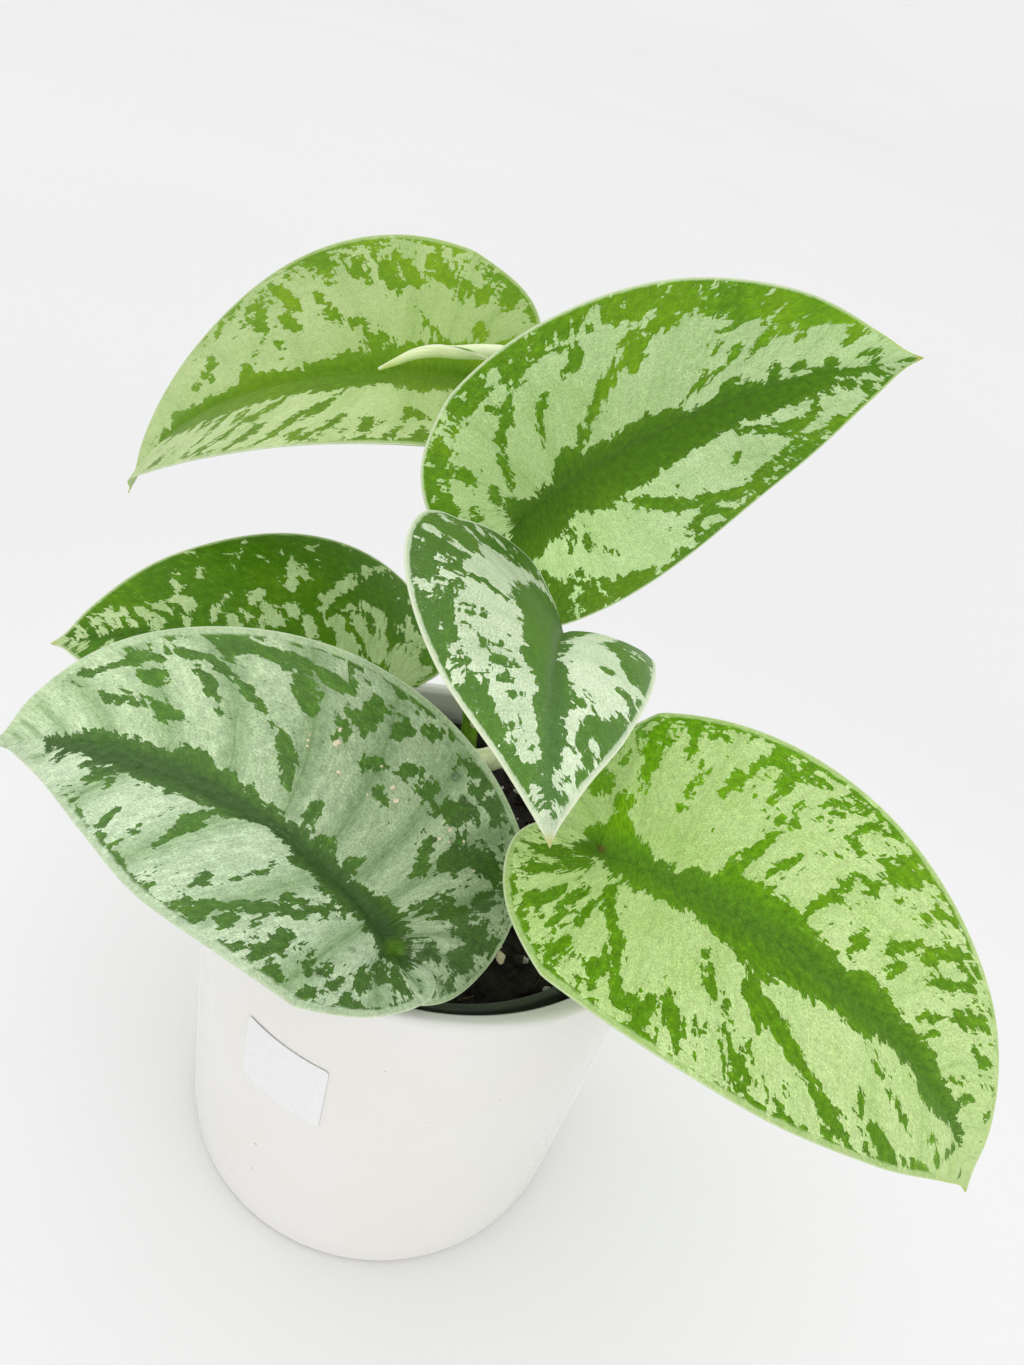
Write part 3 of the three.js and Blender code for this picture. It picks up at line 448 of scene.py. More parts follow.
                (30, 44, 31, 61, 2.4), (31, 71, 31, 93, 2.8), (28, 61, 28, 79, 2.6), (24, 54, 24, 91, 2.6),
                (35, 61, 35, 91, 2.6), (41, 59, 43, 95, 2.8), (48, 74, 47, 98, 3.2), (72, 64, 73, 86, 2.8),
                (72, 51, 70, 63, 2.2), (78, 29, 76, 48, 74, 67, 2.2), (40, 75, 39, 95, 2.6), (85, 69, 84, 81, 1.8),
                (66, 88, 72, 96, 2.4),
            ),
            "white": 0.4,
            "light": ((15, 1.05, 0.74), (32, 1.12, 0.98), (47, 1, 0.84), (62, 1.01, 0.82), (80, 1.01, 0.95)),
        }),
    },
}

# The stalks: points along the axis and the radius at each end (mm). A petiole ends under its leaf.
TALL_VINE = (
    {"path": ((4, 36, 62), (1, 42, 100), (-2, 46, 118), (-4, 50, 148), (-8, 56, 183)), "radius": (3, 2.3)},
    {"path": ((-4, 50, 148), (-5, 52, 170), (-4, 46, 189)), "leaf": "leaf_upper_right", "radius": (2.3, 1.6)},
    {"path": ((-5.5, 53, 163), (-15, 62, 184), (-24, 68, 203)), "leaf": "leaf_back_left", "radius": (2.2, 1.6)},
    {"path": ((-2.5, 47, 123), (2, 37, 145), (9, 16, 163)), "leaf": "leaf_middle", "radius": (2.4, 1.6)},
)
LOW_VINE = (
    {"path": ((-26, 14, 80), (-20, 22, 102), (-9, 29, 114), (4, 33.5, 118), (14, 37, 122)), "radius": (3.2, 3)},
    {"path": ((-19, 23, 104), (-23, 29, 118)), "leaf": "leaf_left", "radius": (2.4, 1.6)},
    {"path": ((-12, 27, 112), (-11, 5, 121), (-6, -30, 132)), "leaf": "leaf_front_left", "radius": (2.6, 1.7)},
    {"path": ((13, 37, 121), (24, 31, 136), (32, 5, 147)), "leaf": "leaf_front_right", "radius": (2.6, 1.7)},
)
SPIKE_PATH = (
    (-8.6, 57.2, 187.6), (-9, 62, 203), (-12.4, 68, 217), (-17.6, 69.4, 224.6), (-24.5, 67, 225), (-31.7, 64, 223.8),
    (-36.6, 62.4, 223.1), (-41.7, 60.7, 221.2), (-45.5, 59, 218.8), (-49.4, 57.2, 216.3),
)
# The new leaf towards its tip: mm from the tip, the roll's radius in mm, and how far round its
# free edge has turned, in degrees.
SPIKE_ROLL = (
    (0, 0.22, 118), (2, 0.45, 116), (4.6, 0.78, 112), (9.4, 1.18, 100), (13, 1.44, 86), (17, 1.6, 70), (21, 1.76, 44),
    (25, 1.88, 6), (29, 1.96, -34), (34, 2.1, -70), (48, 2.2, -80), (60, 1.7, -80), (90, 1.5, -80),
)

# Grains that lie on the front left blade's right half, and drops of water: vein and reach in
# hundredths and the size in mm.
GRAINS = (
    (51, 58, 1.1), (51, 51, 1.7), (50, 38, 1.1), (45, 49, 1.3), (44, 45, 1.5), (47, 54, 0.7), (53, 46, 0.8),
    (53, 49, 0.6), (53, 43, 0.7), (38, 50, 1.0), (38, 58, 1.1), (47, 38, 0.6), (36, 62, 0.8), (33, 60, 0.7),
    (45, 66, 0.6), (37, 54, 0.6),
)
DROPS = (
    ("leaf_front_left", 1, 41, 79, 2.4), ("leaf_front_left", 1, 39, 75, 2.8), ("leaf_front_left", 1, 37, 56, 1.2),
    ("leaf_front_left", 1, 34, 66, 1.1), ("leaf_front_left", 0, 32, 68, 2.2), ("leaf_front_left", 0, 31, 36, 1.4),
    ("leaf_left", 1, 18, 82, 2.0), ("leaf_left", 1, 14, 56, 1.5),
)


# ---- Sizes and colours ----


def length_setting(name, default, description):
    """A setting in metres."""
    return bpy.props.FloatProperty(name=name, description=description, default=default, unit="LENGTH")


def color_setting(name, default, description):
    """A setting that is a colour."""
    return bpy.props.FloatVectorProperty(
        name=name, description=description, subtype="COLOR", min=0, max=1, default=default
    )


def number_setting(name, default, description, least=0):
    """A setting that is a plain number, whole or not as its default is."""
    kind = bpy.props.IntProperty if isinstance(default, int) else bpy.props.FloatProperty
    return kind(name=name, description=description, default=default, min=least)


class CoverPotSettings(bpy.types.PropertyGroup):
    """The glazed cover pot and the blank label on it."""

    wall: length_setting("Wall", 0.0045, "Thickness of the fired wall")
    rim_round: length_setting("Rim round", 0.0021, "Radius of the rim's rounding")
    foot_round: length_setting("Foot round", 0.0035, "Radius at the foot")
    glaze_color: color_setting("Glaze", (0.842, 0.828, 0.798), "Colour of the glaze")
    label_side: length_setting("Label side", 0.025, "Side of the square label")
    label_color: color_setting("Label", (0.885, 0.885, 0.888), "Colour of the label's paper")


class NurseryPotSettings(bpy.types.PropertyGroup):
    """The thin plastic pot that the plant grows in."""

    wall: length_setting("Wall", 0.0009, "Thickness of the plastic")
    lip: length_setting("Lip", 0.0012, "How far the rim stands out")
    plastic_color: color_setting("Plastic", (0.05, 0.062, 0.042), "Colour of the plastic")


class SoilSettings(bpy.types.PropertyGroup):
    """The potting mix and what lies in it."""

    crumbs: number_setting("Crumbs", 620, "Number of loose crumbs on top")
    perlite: number_setting("Perlite", 85, "Number of white grains")
    bark: number_setting("Bark", 70, "Number of bark chips and fibres")
    soil_color: color_setting("Soil", (0.011, 0.0085, 0.0065), "Colour of the damp mix")


class VineSettings(bpy.types.PropertyGroup):
    """Stems, petioles and the rolled new leaf."""

    node_swell: length_setting("Node swelling", 0.0006, "How far a stem swells at a node")
    sheath: length_setting("Sheath", 0.0013, "Height of the wings on a petiole's foot")
    stalk_color: color_setting("Stalk", (0.145, 0.305, 0.02), "Colour of stems and petioles")
    sheath_color: color_setting("Sheath", (0.96, 1.0, 0.6), "Colour of the papery sheaths")
    new_leaf_color: color_setting("New leaf", (0.86, 0.95, 0.5), "Colour of the rolled leaf")


class LeafSettings(bpy.types.PropertyGroup):
    """What all the blades share."""

    thickness: length_setting("Thickness", 0.0008, "Thickness of a blade")
    side_veins: number_setting("Side veins", 13, "Side veins in each half", least=3)
    rib_height: length_setting("Midrib", 0.0011, "How far the midrib stands out below")
    jag: number_setting("Jag", 1.15, "How ragged the splashes are, in mm")
    underside_color: color_setting("Underside", (0.3, 0.43, 0.2), "Colour of a blade's underside")
    hem_color: color_setting("Margin", (0.76, 0.83, 0.6), "Colour of the thin line round a blade")
    young_hem_color: color_setting("Young margin", (0.5, 0.66, 0.08), "Colour of that line near a light blade's tip")


class StageSettings(bpy.types.PropertyGroup):
    """Floor, light and camera."""

    floor_color: color_setting("Floor", (0.83, 0.83, 0.835), "Colour of floor and backdrop")
    sky: number_setting("Daylight", 0.93, "Strength of the even light all round")
    key: number_setting("Window light", 0.3, "Strength of the soft light from above")
    fill: number_setting("Fill light", 0.35, "Strength of the soft light from the front")
    focal_length: number_setting("Focal length", 26.95, "Camera focal length, in mm", least=1)


# ---- Modelling helpers ----


def clear_selection():
    """Leaves edit mode and deselects everything."""
    if bpy.context.object and bpy.context.object.mode != "OBJECT":
        bpy.ops.object.mode_set(mode="OBJECT")
    bpy.ops.object.select_all(action="DESELECT")


def select_only(*pieces):
    """Selects these pieces, with the first one active."""
    clear_selection()
    for piece in pieces:
        piece.select_set(True)
    bpy.context.view_layer.objects.active = pieces[0]


def named(name):
    """Names the object that was just added, and its mesh."""
    piece = bpy.context.object
    piece.name = name
    piece.data.name = name
    return piece


def added(name, add, **settings):
    """A new object of this name, added with nothing else selected."""
    clear_selection()
    add(**settings)
    return named(name)


def apply_modifier(piece, kind, **settings):
    """Adds a modifier with these settings and applies it."""
    select_only(piece)
    modifier = piece.modifiers.new(kind.title(), kind)
    for key, value in settings.items():
        setattr(modifier, key, value)
    bpy.ops.object.modifier_apply(modifier=modifier.name)


def edit_whole(*steps):
    """Takes these steps in edit mode, each on the whole of the active mesh."""
    bpy.ops.object.mode_set(mode="EDIT")
    for step in steps:
        bpy.ops.mesh.select_all(action="SELECT")
        step()
    bpy.ops.object.mode_set(mode="OBJECT")


def joined(name, pieces):
    """Joins pieces into one of this name."""
    select_only(*pieces)
    bpy.ops.object.join()
    return named(name)


def copied(pattern, transform):
    """A copy of a pattern with a mesh of its own, moved by a matrix."""
    copy = pattern.copy()
    copy.data = pattern.data.copy()
    bpy.context.scene.collection.objects.link(copy)
    copy.data.transform(transform)
    return copy


def coordinates(piece):
    """A piece's vertex places as an array, in metres."""
    places = np.empty(len(piece.data.vertices) * 3)
    piece.data.vertices.foreach_get("co", places)
    return places.reshape(-1, 3)


def place_vertices(piece, places):
    """Moves a piece's vertices to these places."""
    piece.data.vertices.foreach_set("co", np.asarray(places, np.float32).ravel())
    piece.data.update()


def reshaped(piece, move):
    """Moves each vertex of a piece to move(x, y, z)."""
    place_vertices(piece, [move(*place) for place in coordinates(piece)])
    return piece


def vertex_normals(piece):
    """A piece's vertex normals as an array."""
    normals = np.empty(len(piece.data.vertices) * 3, np.float32)
    piece.data.vertex_normals.foreach_get("vector", normals)
    return normals.reshape(-1, 3).astype(float)


def point_values(piece, name, values=None):
    """Reads a number kept at each vertex, or keeps one there."""
    if values is None:
        found = np.empty(len(piece.data.vertices), np.float32)
        piece.data.attributes[name].data.foreach_get("value", found)
        return found.astype(float)
    layer = piece.data.attributes.get(name) or piece.data.attributes.new(name, "FLOAT", "POINT")
    layer.data.foreach_set("value", np.asarray(values, np.float32))
    return layer


def finished(piece, slot, *materials, replaced=(), angle=50):
    """Smooths a piece, gives it its materials and ties it to the plant."""
    select_only(piece)
    bpy.ops.object.transform_apply(location=True, rotation=True, scale=True)
    bpy.ops.object.shade_smooth_by_angle(angle=math.radians(angle))
    if materials:
        piece.data.materials.clear()
        for material in materials:
            piece.data.materials.append(material)
    if replaced:
        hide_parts(*replaced)
    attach(piece, "root")
    clear_selection()
    return piece


def turn_profile(name, profile, sides):
    """A turned shell: a ring is extruded through each (radius, height), and its two ends are closed."""
    radius, height = profile[0]
    start = {"vertices": sides, "radius": radius, "fill_type": "NGON", "location": (0, 0, height)}
    piece = added(name, bpy.ops.mesh.primitive_circle_add, **start)
    bpy.ops.object.transform_apply(location=True)
    bpy.ops.object.mode_set(mode="EDIT")
    bpy.ops.mesh.select_all(action="SELECT")
    bpy.ops.mesh.delete(type="ONLY_FACE")
    bpy.ops.mesh.select_all(action="SELECT")
    bpy.ops.mesh.edge_face_add()
    bpy.ops.mesh.select_mode(type="EDGE")
    bpy.ops.mesh.select_all(action="SELECT")
    for next_radius, next_height in profile[1:]:
        bpy.ops.mesh.extrude_edges_move(TRANSFORM_OT_translate={"value": (0, 0, next_height - height)})
        grow = next_radius / radius
        bpy.ops.transform.resize(value=(grow, grow, 1), center_override=(0, 0, next_height))
        radius, height = next_radius, next_height
    bpy.ops.mesh.edge_face_add()
    bpy.ops.mesh.select_all(action="SELECT")
    bpy.ops.mesh.normals_make_consistent(inside=False)
    bpy.ops.object.mode_set(mode="OBJECT")
    return piece


def corner(radius, height, size, start, end, steps=6):
    """Points round a corner, from start to end in degrees."""
    return [
        (radius + size * math.cos(math.radians(a)), height + size * math.sin(math.radians(a)))
        for a in (start + (end - start) * i / steps for i in range(steps + 1))
    ]


def smooth_path(points, steps):
    """Even points on the smooth curve through these points, as arrays in metres."""
    known = [np.array(p, float) * MM for p in points]
    known = [2 * known[0] - known[1], *known, 2 * known[-1] - known[-2]]
    dense = []
    for a, b, c, d in zip(known, known[1:], known[2:], known[3:]):
        gaps = [max(math.sqrt(np.linalg.norm(q - p)), 1e-4) for p, q in ((a, b), (b, c), (c, d))]
        start = ((b - a) / gaps[0] - (c - a) / (gaps[0] + gaps[1]) + (c - b) / gaps[1]) * gaps[1]
        end = ((c - b) / gaps[1] - (d - b) / (gaps[1] + gaps[2]) + (d - c) / gaps[2]) * gaps[1]
        for w in np.linspace(0, 1, 40, endpoint=False):
            dense.append(
                (2 * w**3 - 3 * w**2 + 1) * b + (w**3 - 2 * w**2 + w) * start
                + (3 * w**2 - 2 * w**3) * c + (w**3 - w**2) * end
            )
    dense = np.array([*dense, known[-2]])
    run = np.concatenate([[0], np.cumsum(np.linalg.norm(np.diff(dense, axis=0), axis=1))])
    even = np.linspace(0, run[-1], steps + 1)
    return np.stack([np.interp(even, run, dense[:, k]) for k in range(3)], 1)


def path_frames(path, start_side):
    """Two sideways directions all along a path that don't turn about it."""
    along = np.gradient(path, axis=0)
    along /= np.linalg.norm(along, axis=1, keepdims=True)
    side = np.array(start_side, float)
    sides = []
    for direction in along:
        side = side - direction * side.dot(direction)
        side /= np.linalg.norm(side)
        sides.append(side)
    sides = np.array(sides)
    return sides, np.cross(along, sides)


# ---- Node helpers ----


def toned(color, *factors):
    """A colour times one factor, or times one for each channel."""
    factors = factors * 3 if len(factors) == 1 else factors
    return tuple(min(1, c * k) for c, k in zip(color, factors))


def feed(tree, sockets, values):
    """Sets each named socket, or joins it where its value comes from another node."""
    for key, value in values.items():
        if isinstance(value, bpy.types.NodeSocket):
            tree.links.new(value, sockets[key])
        else:
            sockets[key].default_value = value


class Board:
    """A node tree, with short calls that add its nodes and join them."""

    def __init__(self, tree, material=None):
        self.tree, self.material = tree, material

    def add(self, kind, inputs=None, **settings):
        """A node of this kind, with its settings made before its inputs."""
        node = self.tree.nodes.new("ShaderNode" + kind)
        for key, value in settings.items():
            setattr(node, key, value)
        feed(self.tree, node.inputs, inputs or {})
        return node

    def math(self, operation, a, b=0.0, clamp=False):
        return self.add("Math", {0: a, 1: b}, operation=operation, use_clamp=clamp).outputs[0]

    def plus(self, a, b, clamp=False):
        return self.math("ADD", a, b, clamp)

    def times(self, a, b):
        return self.math("MULTIPLY", a, b)

    def span(self, value, low, high, to_low=0.0, to_high=1.0, smooth=True):
        """A value carried from one range to another and held at its ends."""
        kind = "SMOOTHSTEP" if smooth else "LINEAR"
        places = {"Value": value, "From Min": low, "From Max": high, "To Min": to_low, "To Max": to_high}
        return self.add("MapRange", places, interpolation_type=kind).outputs["Result"]

    def mix(self, factor, a, b, blend="MIX"):
        a, b = (c if isinstance(c, bpy.types.NodeSocket) else (*c, 1) for c in (a, b))
        return self.add("Mix", {0: factor, 6: a, 7: b}, data_type="RGBA", blend_type=blend).outputs[2]

    def noise(self, vector, scale, detail=2.0, roughness=0.5):
        """Noise at one scale, or at one for each direction."""
        if isinstance(scale, tuple):
            vector, scale = self.stretched(vector, scale), 1.0
        places = {"Vector": vector, "Scale": scale, "Detail": detail, "Roughness": roughness}
        return self.add("TexNoise", places).outputs["Fac"]

    def stretched(self, vector, scale):
        return self.add("Mapping", {"Vector": vector, "Scale": scale}).outputs[0]

    def value(self, name):
        return self.add("Attribute", attribute_name=name).outputs["Fac"]

    def object_place(self):
        return self.add("TexCoord").outputs["Object"]

    def veins(self):
        """A leaf's own map, along the midrib and out from it."""
        return self.add("UVMap", uv_map="veins").outputs["UV"]

    def group(self, name, make, inputs):
        """The outputs of a shared node group, which is made the first time it is asked for."""
        tree = bpy.data.node_groups.get(name) or make(name)
        return self.add("Group", inputs, node_tree=tree).outputs

    def bump(self, height, distance, strength=1.0, **over):
        return self.add("Bump", {"Height": height, "Distance": distance, "Strength": strength, **over}).outputs[0]

    def finish(self, given, **settings):
        """Feeds the material's shader and gives the material."""
        values = {key.replace("_", " "): value for key, value in (given | settings).items()}
        feed(self.tree, self.tree.nodes["Principled BSDF"].inputs, values)
        return self.material

    def surface(self, tone, pattern, rough, relief=0, strength=1.0, height=None, ends=(0.3, 0.7), **settings):
        """Finishes a material with this tone, and a roughness and relief that follow a pattern."""
        given = {"Base Color": tone, "Roughness": self.span(pattern, *ends, *rough)}
        if relief:
            given["Normal"] = self.bump(height or pattern, relief, strength)
        return self.finish(given, **settings)


def new_board(name):
    """The board of a new material, whose surface is one Principled shader."""
    material = bpy.data.materials.new(name)
    material.use_nodes = True
    return Board(material.node_tree, material)


def new_group(name, inputs, outputs, build):
    """A shader node group with these sockets. build(board, inputs) gives its outputs."""
    tree = bpy.data.node_groups.new(name, "ShaderNodeTree")
    kinds = {"value": "NodeSocketFloat", "vector": "NodeSocketVector", "color": "NodeSocketColor"}
    for key, (kind, default) in inputs.items():
        socket = tree.interface.new_socket(name=key, in_out="INPUT", socket_type=kinds[kind])
        if default is not None:
            socket.default_value = default
    for key, kind in outputs.items():
        tree.interface.new_socket(name=key, in_out="OUTPUT", socket_type=kinds[kind])
    entry = tree.nodes.new("NodeGroupInput")
    leave = tree.nodes.new("NodeGroupOutput")
    feed(tree, leave.inputs, build(Board(tree), entry.outputs))
    return tree


def silver_splashes(name):
    """Breaks up a smooth field, in mm, into splashes with ragged, vein-wise edges."""

    def build(board, given):
        veins, jag = given["Veins"], given["Jag"]
        total = 0.0
        for scale, depth in (((3.4, 2.6, 1), 1.4), ((7.4, 4.6, 1), 1.3)):
            cells = {"Vector": board.stretched(veins, scale), "Scale": 1.0, "Randomness": 0.85}
            blocks = board.add("TexVoronoi", cells, distance="CHEBYCHEV").outputs["Color"]
            step = board.math("SUBTRACT", board.add("SeparateColor", {0: blocks}).outputs[0], 0.5)
            total = board.plus(board.times(step, depth), total)
        fray = board.span(board.noise(veins, (1.9, 1.3, 1), 1.0), 0.42, 0.62, 0.8, 4.6)
        for scale, depth, detail in (
            ((1.6, 0.9, 1), 3.6, 2.0), ((10, 1.7, 1), fray, 1.0), ((4.8, 6.2, 1), 2.4, 1.0), ((24, 14, 1), 0.8, 1.0)
        ):
            wander = board.math("SUBTRACT", board.noise(veins, scale, detail), 0.5)
            total = board.plus(board.times(wander, depth), total)
        field = board.plus(given["Field"], board.times(total, jag))
        flecks = board.span(board.noise(veins, (34, 13, 1), 2.0, 0.6), 0.6, 0.66)
        flecks = board.times(flecks, board.span(field, -2.2, -0.4, 0, 0.4))
        return {"Silver": board.math("MAXIMUM", board.span(field, -0.05, 0.05), flecks)}

    inputs = {"Veins": ("vector", None), "Field": ("value", 0.0), "Jag": ("value", 1.0)}
    return new_group(name, inputs, {"Silver": "value"}, build)


def leaf_grain(name):
    """The fine vein-wise grain of a blade and its pebbled cells, as tones and a height."""

    def build(board, given):
        veins = given["Veins"]
        streaks = board.noise(veins, (12, 1.5, 1), 3.0, 0.65)
        grains = board.noise(veins, (26, 20, 1), 3.0, 0.7)
        clouds = board.noise(veins, (1.1, 0.7, 1))
        pebbles = board.noise(veins, (7, 5, 1), 3.0, 0.6)
        tone = board.plus(board.times(streaks, 0.3), board.times(grains, 0.4))
        tone = board.plus(tone, board.times(clouds, 0.3), clamp=True)
        height = board.plus(board.times(streaks, 0.35), board.times(grains, 0.3))
        height = board.plus(height, board.times(pebbles, 0.8))
        return {"Tone": tone, "Pebbles": pebbles, "Grains": grains, "Height": height}

    outputs = dict.fromkeys(("Tone", "Pebbles", "Grains", "Height"), "value")
    return new_group(name, {"Veins": ("vector", None)}, outputs, build)


def damp_earth(name):
    """The colour of damp peat with paler crumbs, and its height."""

    def build(board, given):
        place = given["Place"]
        clumps = board.noise(place, 260.0, 5.0, 0.7)
        fibres = board.noise(place, (900, 220, 500), 2.0, 0.6)
        color = board.mix(board.span(clumps, 0.35, 0.75), given["Dark"], given["Light"])
        color = board.mix(board.span(fibres, 0.66, 0.8, 0, 0.4), color, (0.09, 0.055, 0.03))
        return {"Color": color, "Height": board.plus(clumps, board.times(fibres, 0.4))}

    dark, light = (0.01, 0.008, 0.006, 1), (0.03, 0.022, 0.015, 1)
    inputs = {"Place": ("vector", None), "Dark": ("color", dark), "Light": ("color", light)}
    return new_group(name, inputs, {"Color": "color", "Height": "value"}, build)


def stalk_skin(name):
    """Fine streaks and a few pale dots on green skin."""

    def build(board, given):
        place = given["Place"]
        streaks = board.noise(place, (900, 900, 160), 3.0, 0.6)
        dots = board.noise(place, 1500.0, 1.0)
        color = board.mix(board.span(streaks, 0.3, 0.75), given["Dark"], given["Light"])
        color = board.mix(board.span(dots, 0.68, 0.76, 0, 0.5), color, given["Dots"])
        return {"Color": color, "Height": streaks}

    inputs = {
        "Place": ("vector", None), "Dark": ("color", (0.1, 0.2, 0.03, 1)),
        "Light": ("color", (0.2, 0.35, 0.06, 1)), "Dots": ("color", (0.5, 0.6, 0.35, 1)),
    }
    return new_group(name, inputs, {"Color": "color", "Height": "value"}, build)


# ---- Cover pot and label ----


def pot_radius(height):
    """The cover pot's outer radius at a height."""
    return (60 + 2.5 * height / POT_HEIGHT) * MM


def glaze_material(color):
    board = new_board("Glazed ceramic")
    place = board.object_place()
    clouds = board.noise(place, 22.0, 3.0)
    specks = board.noise(place, 900.0, 1.0)
    height = board.add("SeparateXYZ", {0: place}).outputs["Z"]
    tone = board.mix(board.span(clouds, 0.3, 0.7), color, toned(color, 0.985, 0.975, 0.95))
    tone = board.mix(board.span(specks, 0.74, 0.8, 0, 0.35), tone, (0.5, 0.46, 0.4))
    tone = board.mix(board.span(board.noise(place, 380.0, 1.0, 0.4), 0.8, 0.83, 0, 0.6), tone, (0.22, 0.13, 0.06))
    thin = board.mix(board.span(height, POT_HEIGHT - 0.004, POT_HEIGHT, 0, 0.3), tone, (0.86, 0.86, 0.85))
    foot = board.mix(board.span(height, 0.0, 0.0018, 1, 0), thin, (0.6, 0.55, 0.48))
    ripple = board.noise(place, (60, 60, 130))
    given = {
        "Base Color": foot,
        "Roughness": board.span(height, 0.0, 0.0018, 0.75, 0.24),
        "Normal": board.bump(ripple, 0.00025, 0.35),
    }
    return board.finish(given, Coat_Weight=1.0, Coat_Roughness=0.12, Specular_IOR_Level=0.5)


def paper_material(color):
    board = new_board("Label paper")
    place = board.object_place()
    fibres = board.noise(place, (1600, 1600, 500), 3.0, 0.6)
    creases = board.noise(place, 70.0)
    tone = board.mix(board.span(fibres, 0.3, 0.7), color, toned(color, 0.955))
    height = board.plus(board.times(fibres, 0.3), creases)
    return board.surface(tone, fibres, (0.42, 0.55), 0.0003, 0.35, height)


class POTHOS_OT_cover_pot(bpy.types.Operator):
    """Turns the glazed cover pot"""

    bl_idname = "pothos.cover_pot"
    bl_label = "Cover pot"

    def execute(self, context):
        settings = context.scene.pothos_cover_pot
        wall, rim, foot, floor = settings.wall, settings.rim_round, settings.foot_round, 0.005
        top = POT_HEIGHT
        profile = [(0.03, 0.0008), (0.0535, 0.0008), (0.0545, 0)]
        profile += corner(pot_radius(0) - foot, foot, foot, -90, 0)
        profile += [(pot_radius(z), z) for z in np.linspace(0.01, top - 0.008, 12)]
        profile += corner(pot_radius(top) - rim, top - rim, rim, 0, 90, 8)
        profile += corner(pot_radius(top) - wall + rim, top - rim, rim, 90, 180, 8)
        profile += [(pot_radius(z) - wall, z) for z in np.linspace(top - 0.008, 0.014, 10)]
        profile += corner(pot_radius(0) - wall - 0.005, floor + 0.005, 0.005, 0, -90)
        profile += [(0.03, floor)]
        pot = turn_profile("glazed_pot", profile, 176)

        def swayed(x, y, z):
            out = math.hypot(x, y)
            grow = 1 + noise.noise(Vector((x, y, z)) * 16) * 0.00022 / out if out > 0.05 else 1
            return x * grow, y * grow, z

        reshaped(pot, swayed)
        finished(pot, "glaze", glaze_material(settings.glaze_color), replaced=["cover_pot"], angle=35)
        return {"FINISHED"}


class POTHOS_OT_label(bpy.types.Operator):
    """Lays the blank paper label on the cover pot"""

    bl_idname = "pothos.label"
    bl_label = "Blank label"

    def execute(self, context):
        settings = context.scene.pothos_cover_pot
        side, (low, high) = settings.label_side, (point.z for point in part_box("sticker"))
        half, round_ = side / 2, 0.0012

        def wrapped(x, y, _):
            over = Vector((max(abs(x) - half + round_, 0), max(abs(y) - half + round_, 0)))
            if over.length > round_ * 0.999 and over.x > 0 and over.y > 0:
                over = over.normalized() * round_
                x = math.copysign(half - round_ + over.x, x)
                y = math.copysign(half - round_ + over.y, y)
            z = (low + high) / 2 + y
            lifted = max(0, (x + y) / side - 0.82) ** 1.5 * 0.0005
            radius = pot_radius(z) + 0.0003 + lifted + 0.00005 * noise.noise(Vector((x, y, 0)) * 190)
            angle = math.radians(LABEL_TURN - 90) + x / radius
            return radius * math.cos(angle), radius * math.sin(angle), z

        grid = {"x_subdivisions": 28, "y_subdivisions": 28, "size": side}
        label = reshaped(added("blank_label", bpy.ops.mesh.primitive_grid_add, **grid), wrapped)
        apply_modifier(label, "SOLIDIFY", thickness=0.00014, offset=-1)
        finished(label, "sticker_paper", paper_material(settings.label_color), replaced=["sticker"], angle=60)
        return {"FINISHED"}


# ---- Nursery pot and soil ----


def plastic_material(color):
    board = new_board("Nursery plastic")
    place = board.object_place()
    grain = board.noise(place, 1400.0, 2.0, 0.6)
    scuffs = board.noise(place, (30, 30, 700), 3.0, 0.7)
    dust = board.noise(place, 120.0, 4.0, 0.7)
    tone = board.mix(board.span(scuffs, 0.6, 0.75, 0, 0.5), color, toned(color, 1.9))
    tone = board.mix(board.span(dust, 0.6, 0.78, 0, 0.45), tone, (0.14, 0.125, 0.09))
    return board.surface(tone, scuffs, (0.4, 0.58), 0.00008, 0.5, grain, Specular_IOR_Level=0.55)


def earth_material(name, dark, light, relief):
    board = new_board(name)
    inputs = {"Place": board.object_place(), "Dark": (*dark, 1), "Light": (*light, 1)}
    earth = board.group("Damp earth", damp_earth, inputs)
    more = {"ends": (0.4, 1.1), "Specular_IOR_Level": 0.3}
    return board.surface(earth["Color"], earth["Height"], (0.95, 0.7), relief, 0.8, **more)


def perlite_material():
    board = new_board("Perlite")
    pores = board.noise(board.object_place(), 2200.0, 3.0, 0.7)
    tone = board.mix(board.span(pores, 0.35, 0.7), (0.46, 0.44, 0.4), (0.78, 0.77, 0.74))
    return board.surface(tone, pores, (0.95, 0.8), 0.0004, 0.7)


def bark_material():
    board = new_board("Bark")
    layers = board.noise(board.object_place(), (300, 1100, 1500), 4.0, 0.65)
    tone = board.mix(board.span(layers, 0.3, 0.7), (0.035, 0.02, 0.012), (0.13, 0.075, 0.042))
    return board.surface(tone, layers, (0.9, 0.75), 0.0005, 0.8)


def grain_material():
    board = new_board("Sand grains")
    spots = board.noise(board.object_place(), 1900.0, 2.0, 0.6)
    tone = board.mix(board.span(spots, 0.3, 0.6), (0.74, 0.58, 0.33), (0.96, 0.88, 0.68))
    return board.surface(tone, spots, (0.85, 0.6), 0.0003, 0.6)


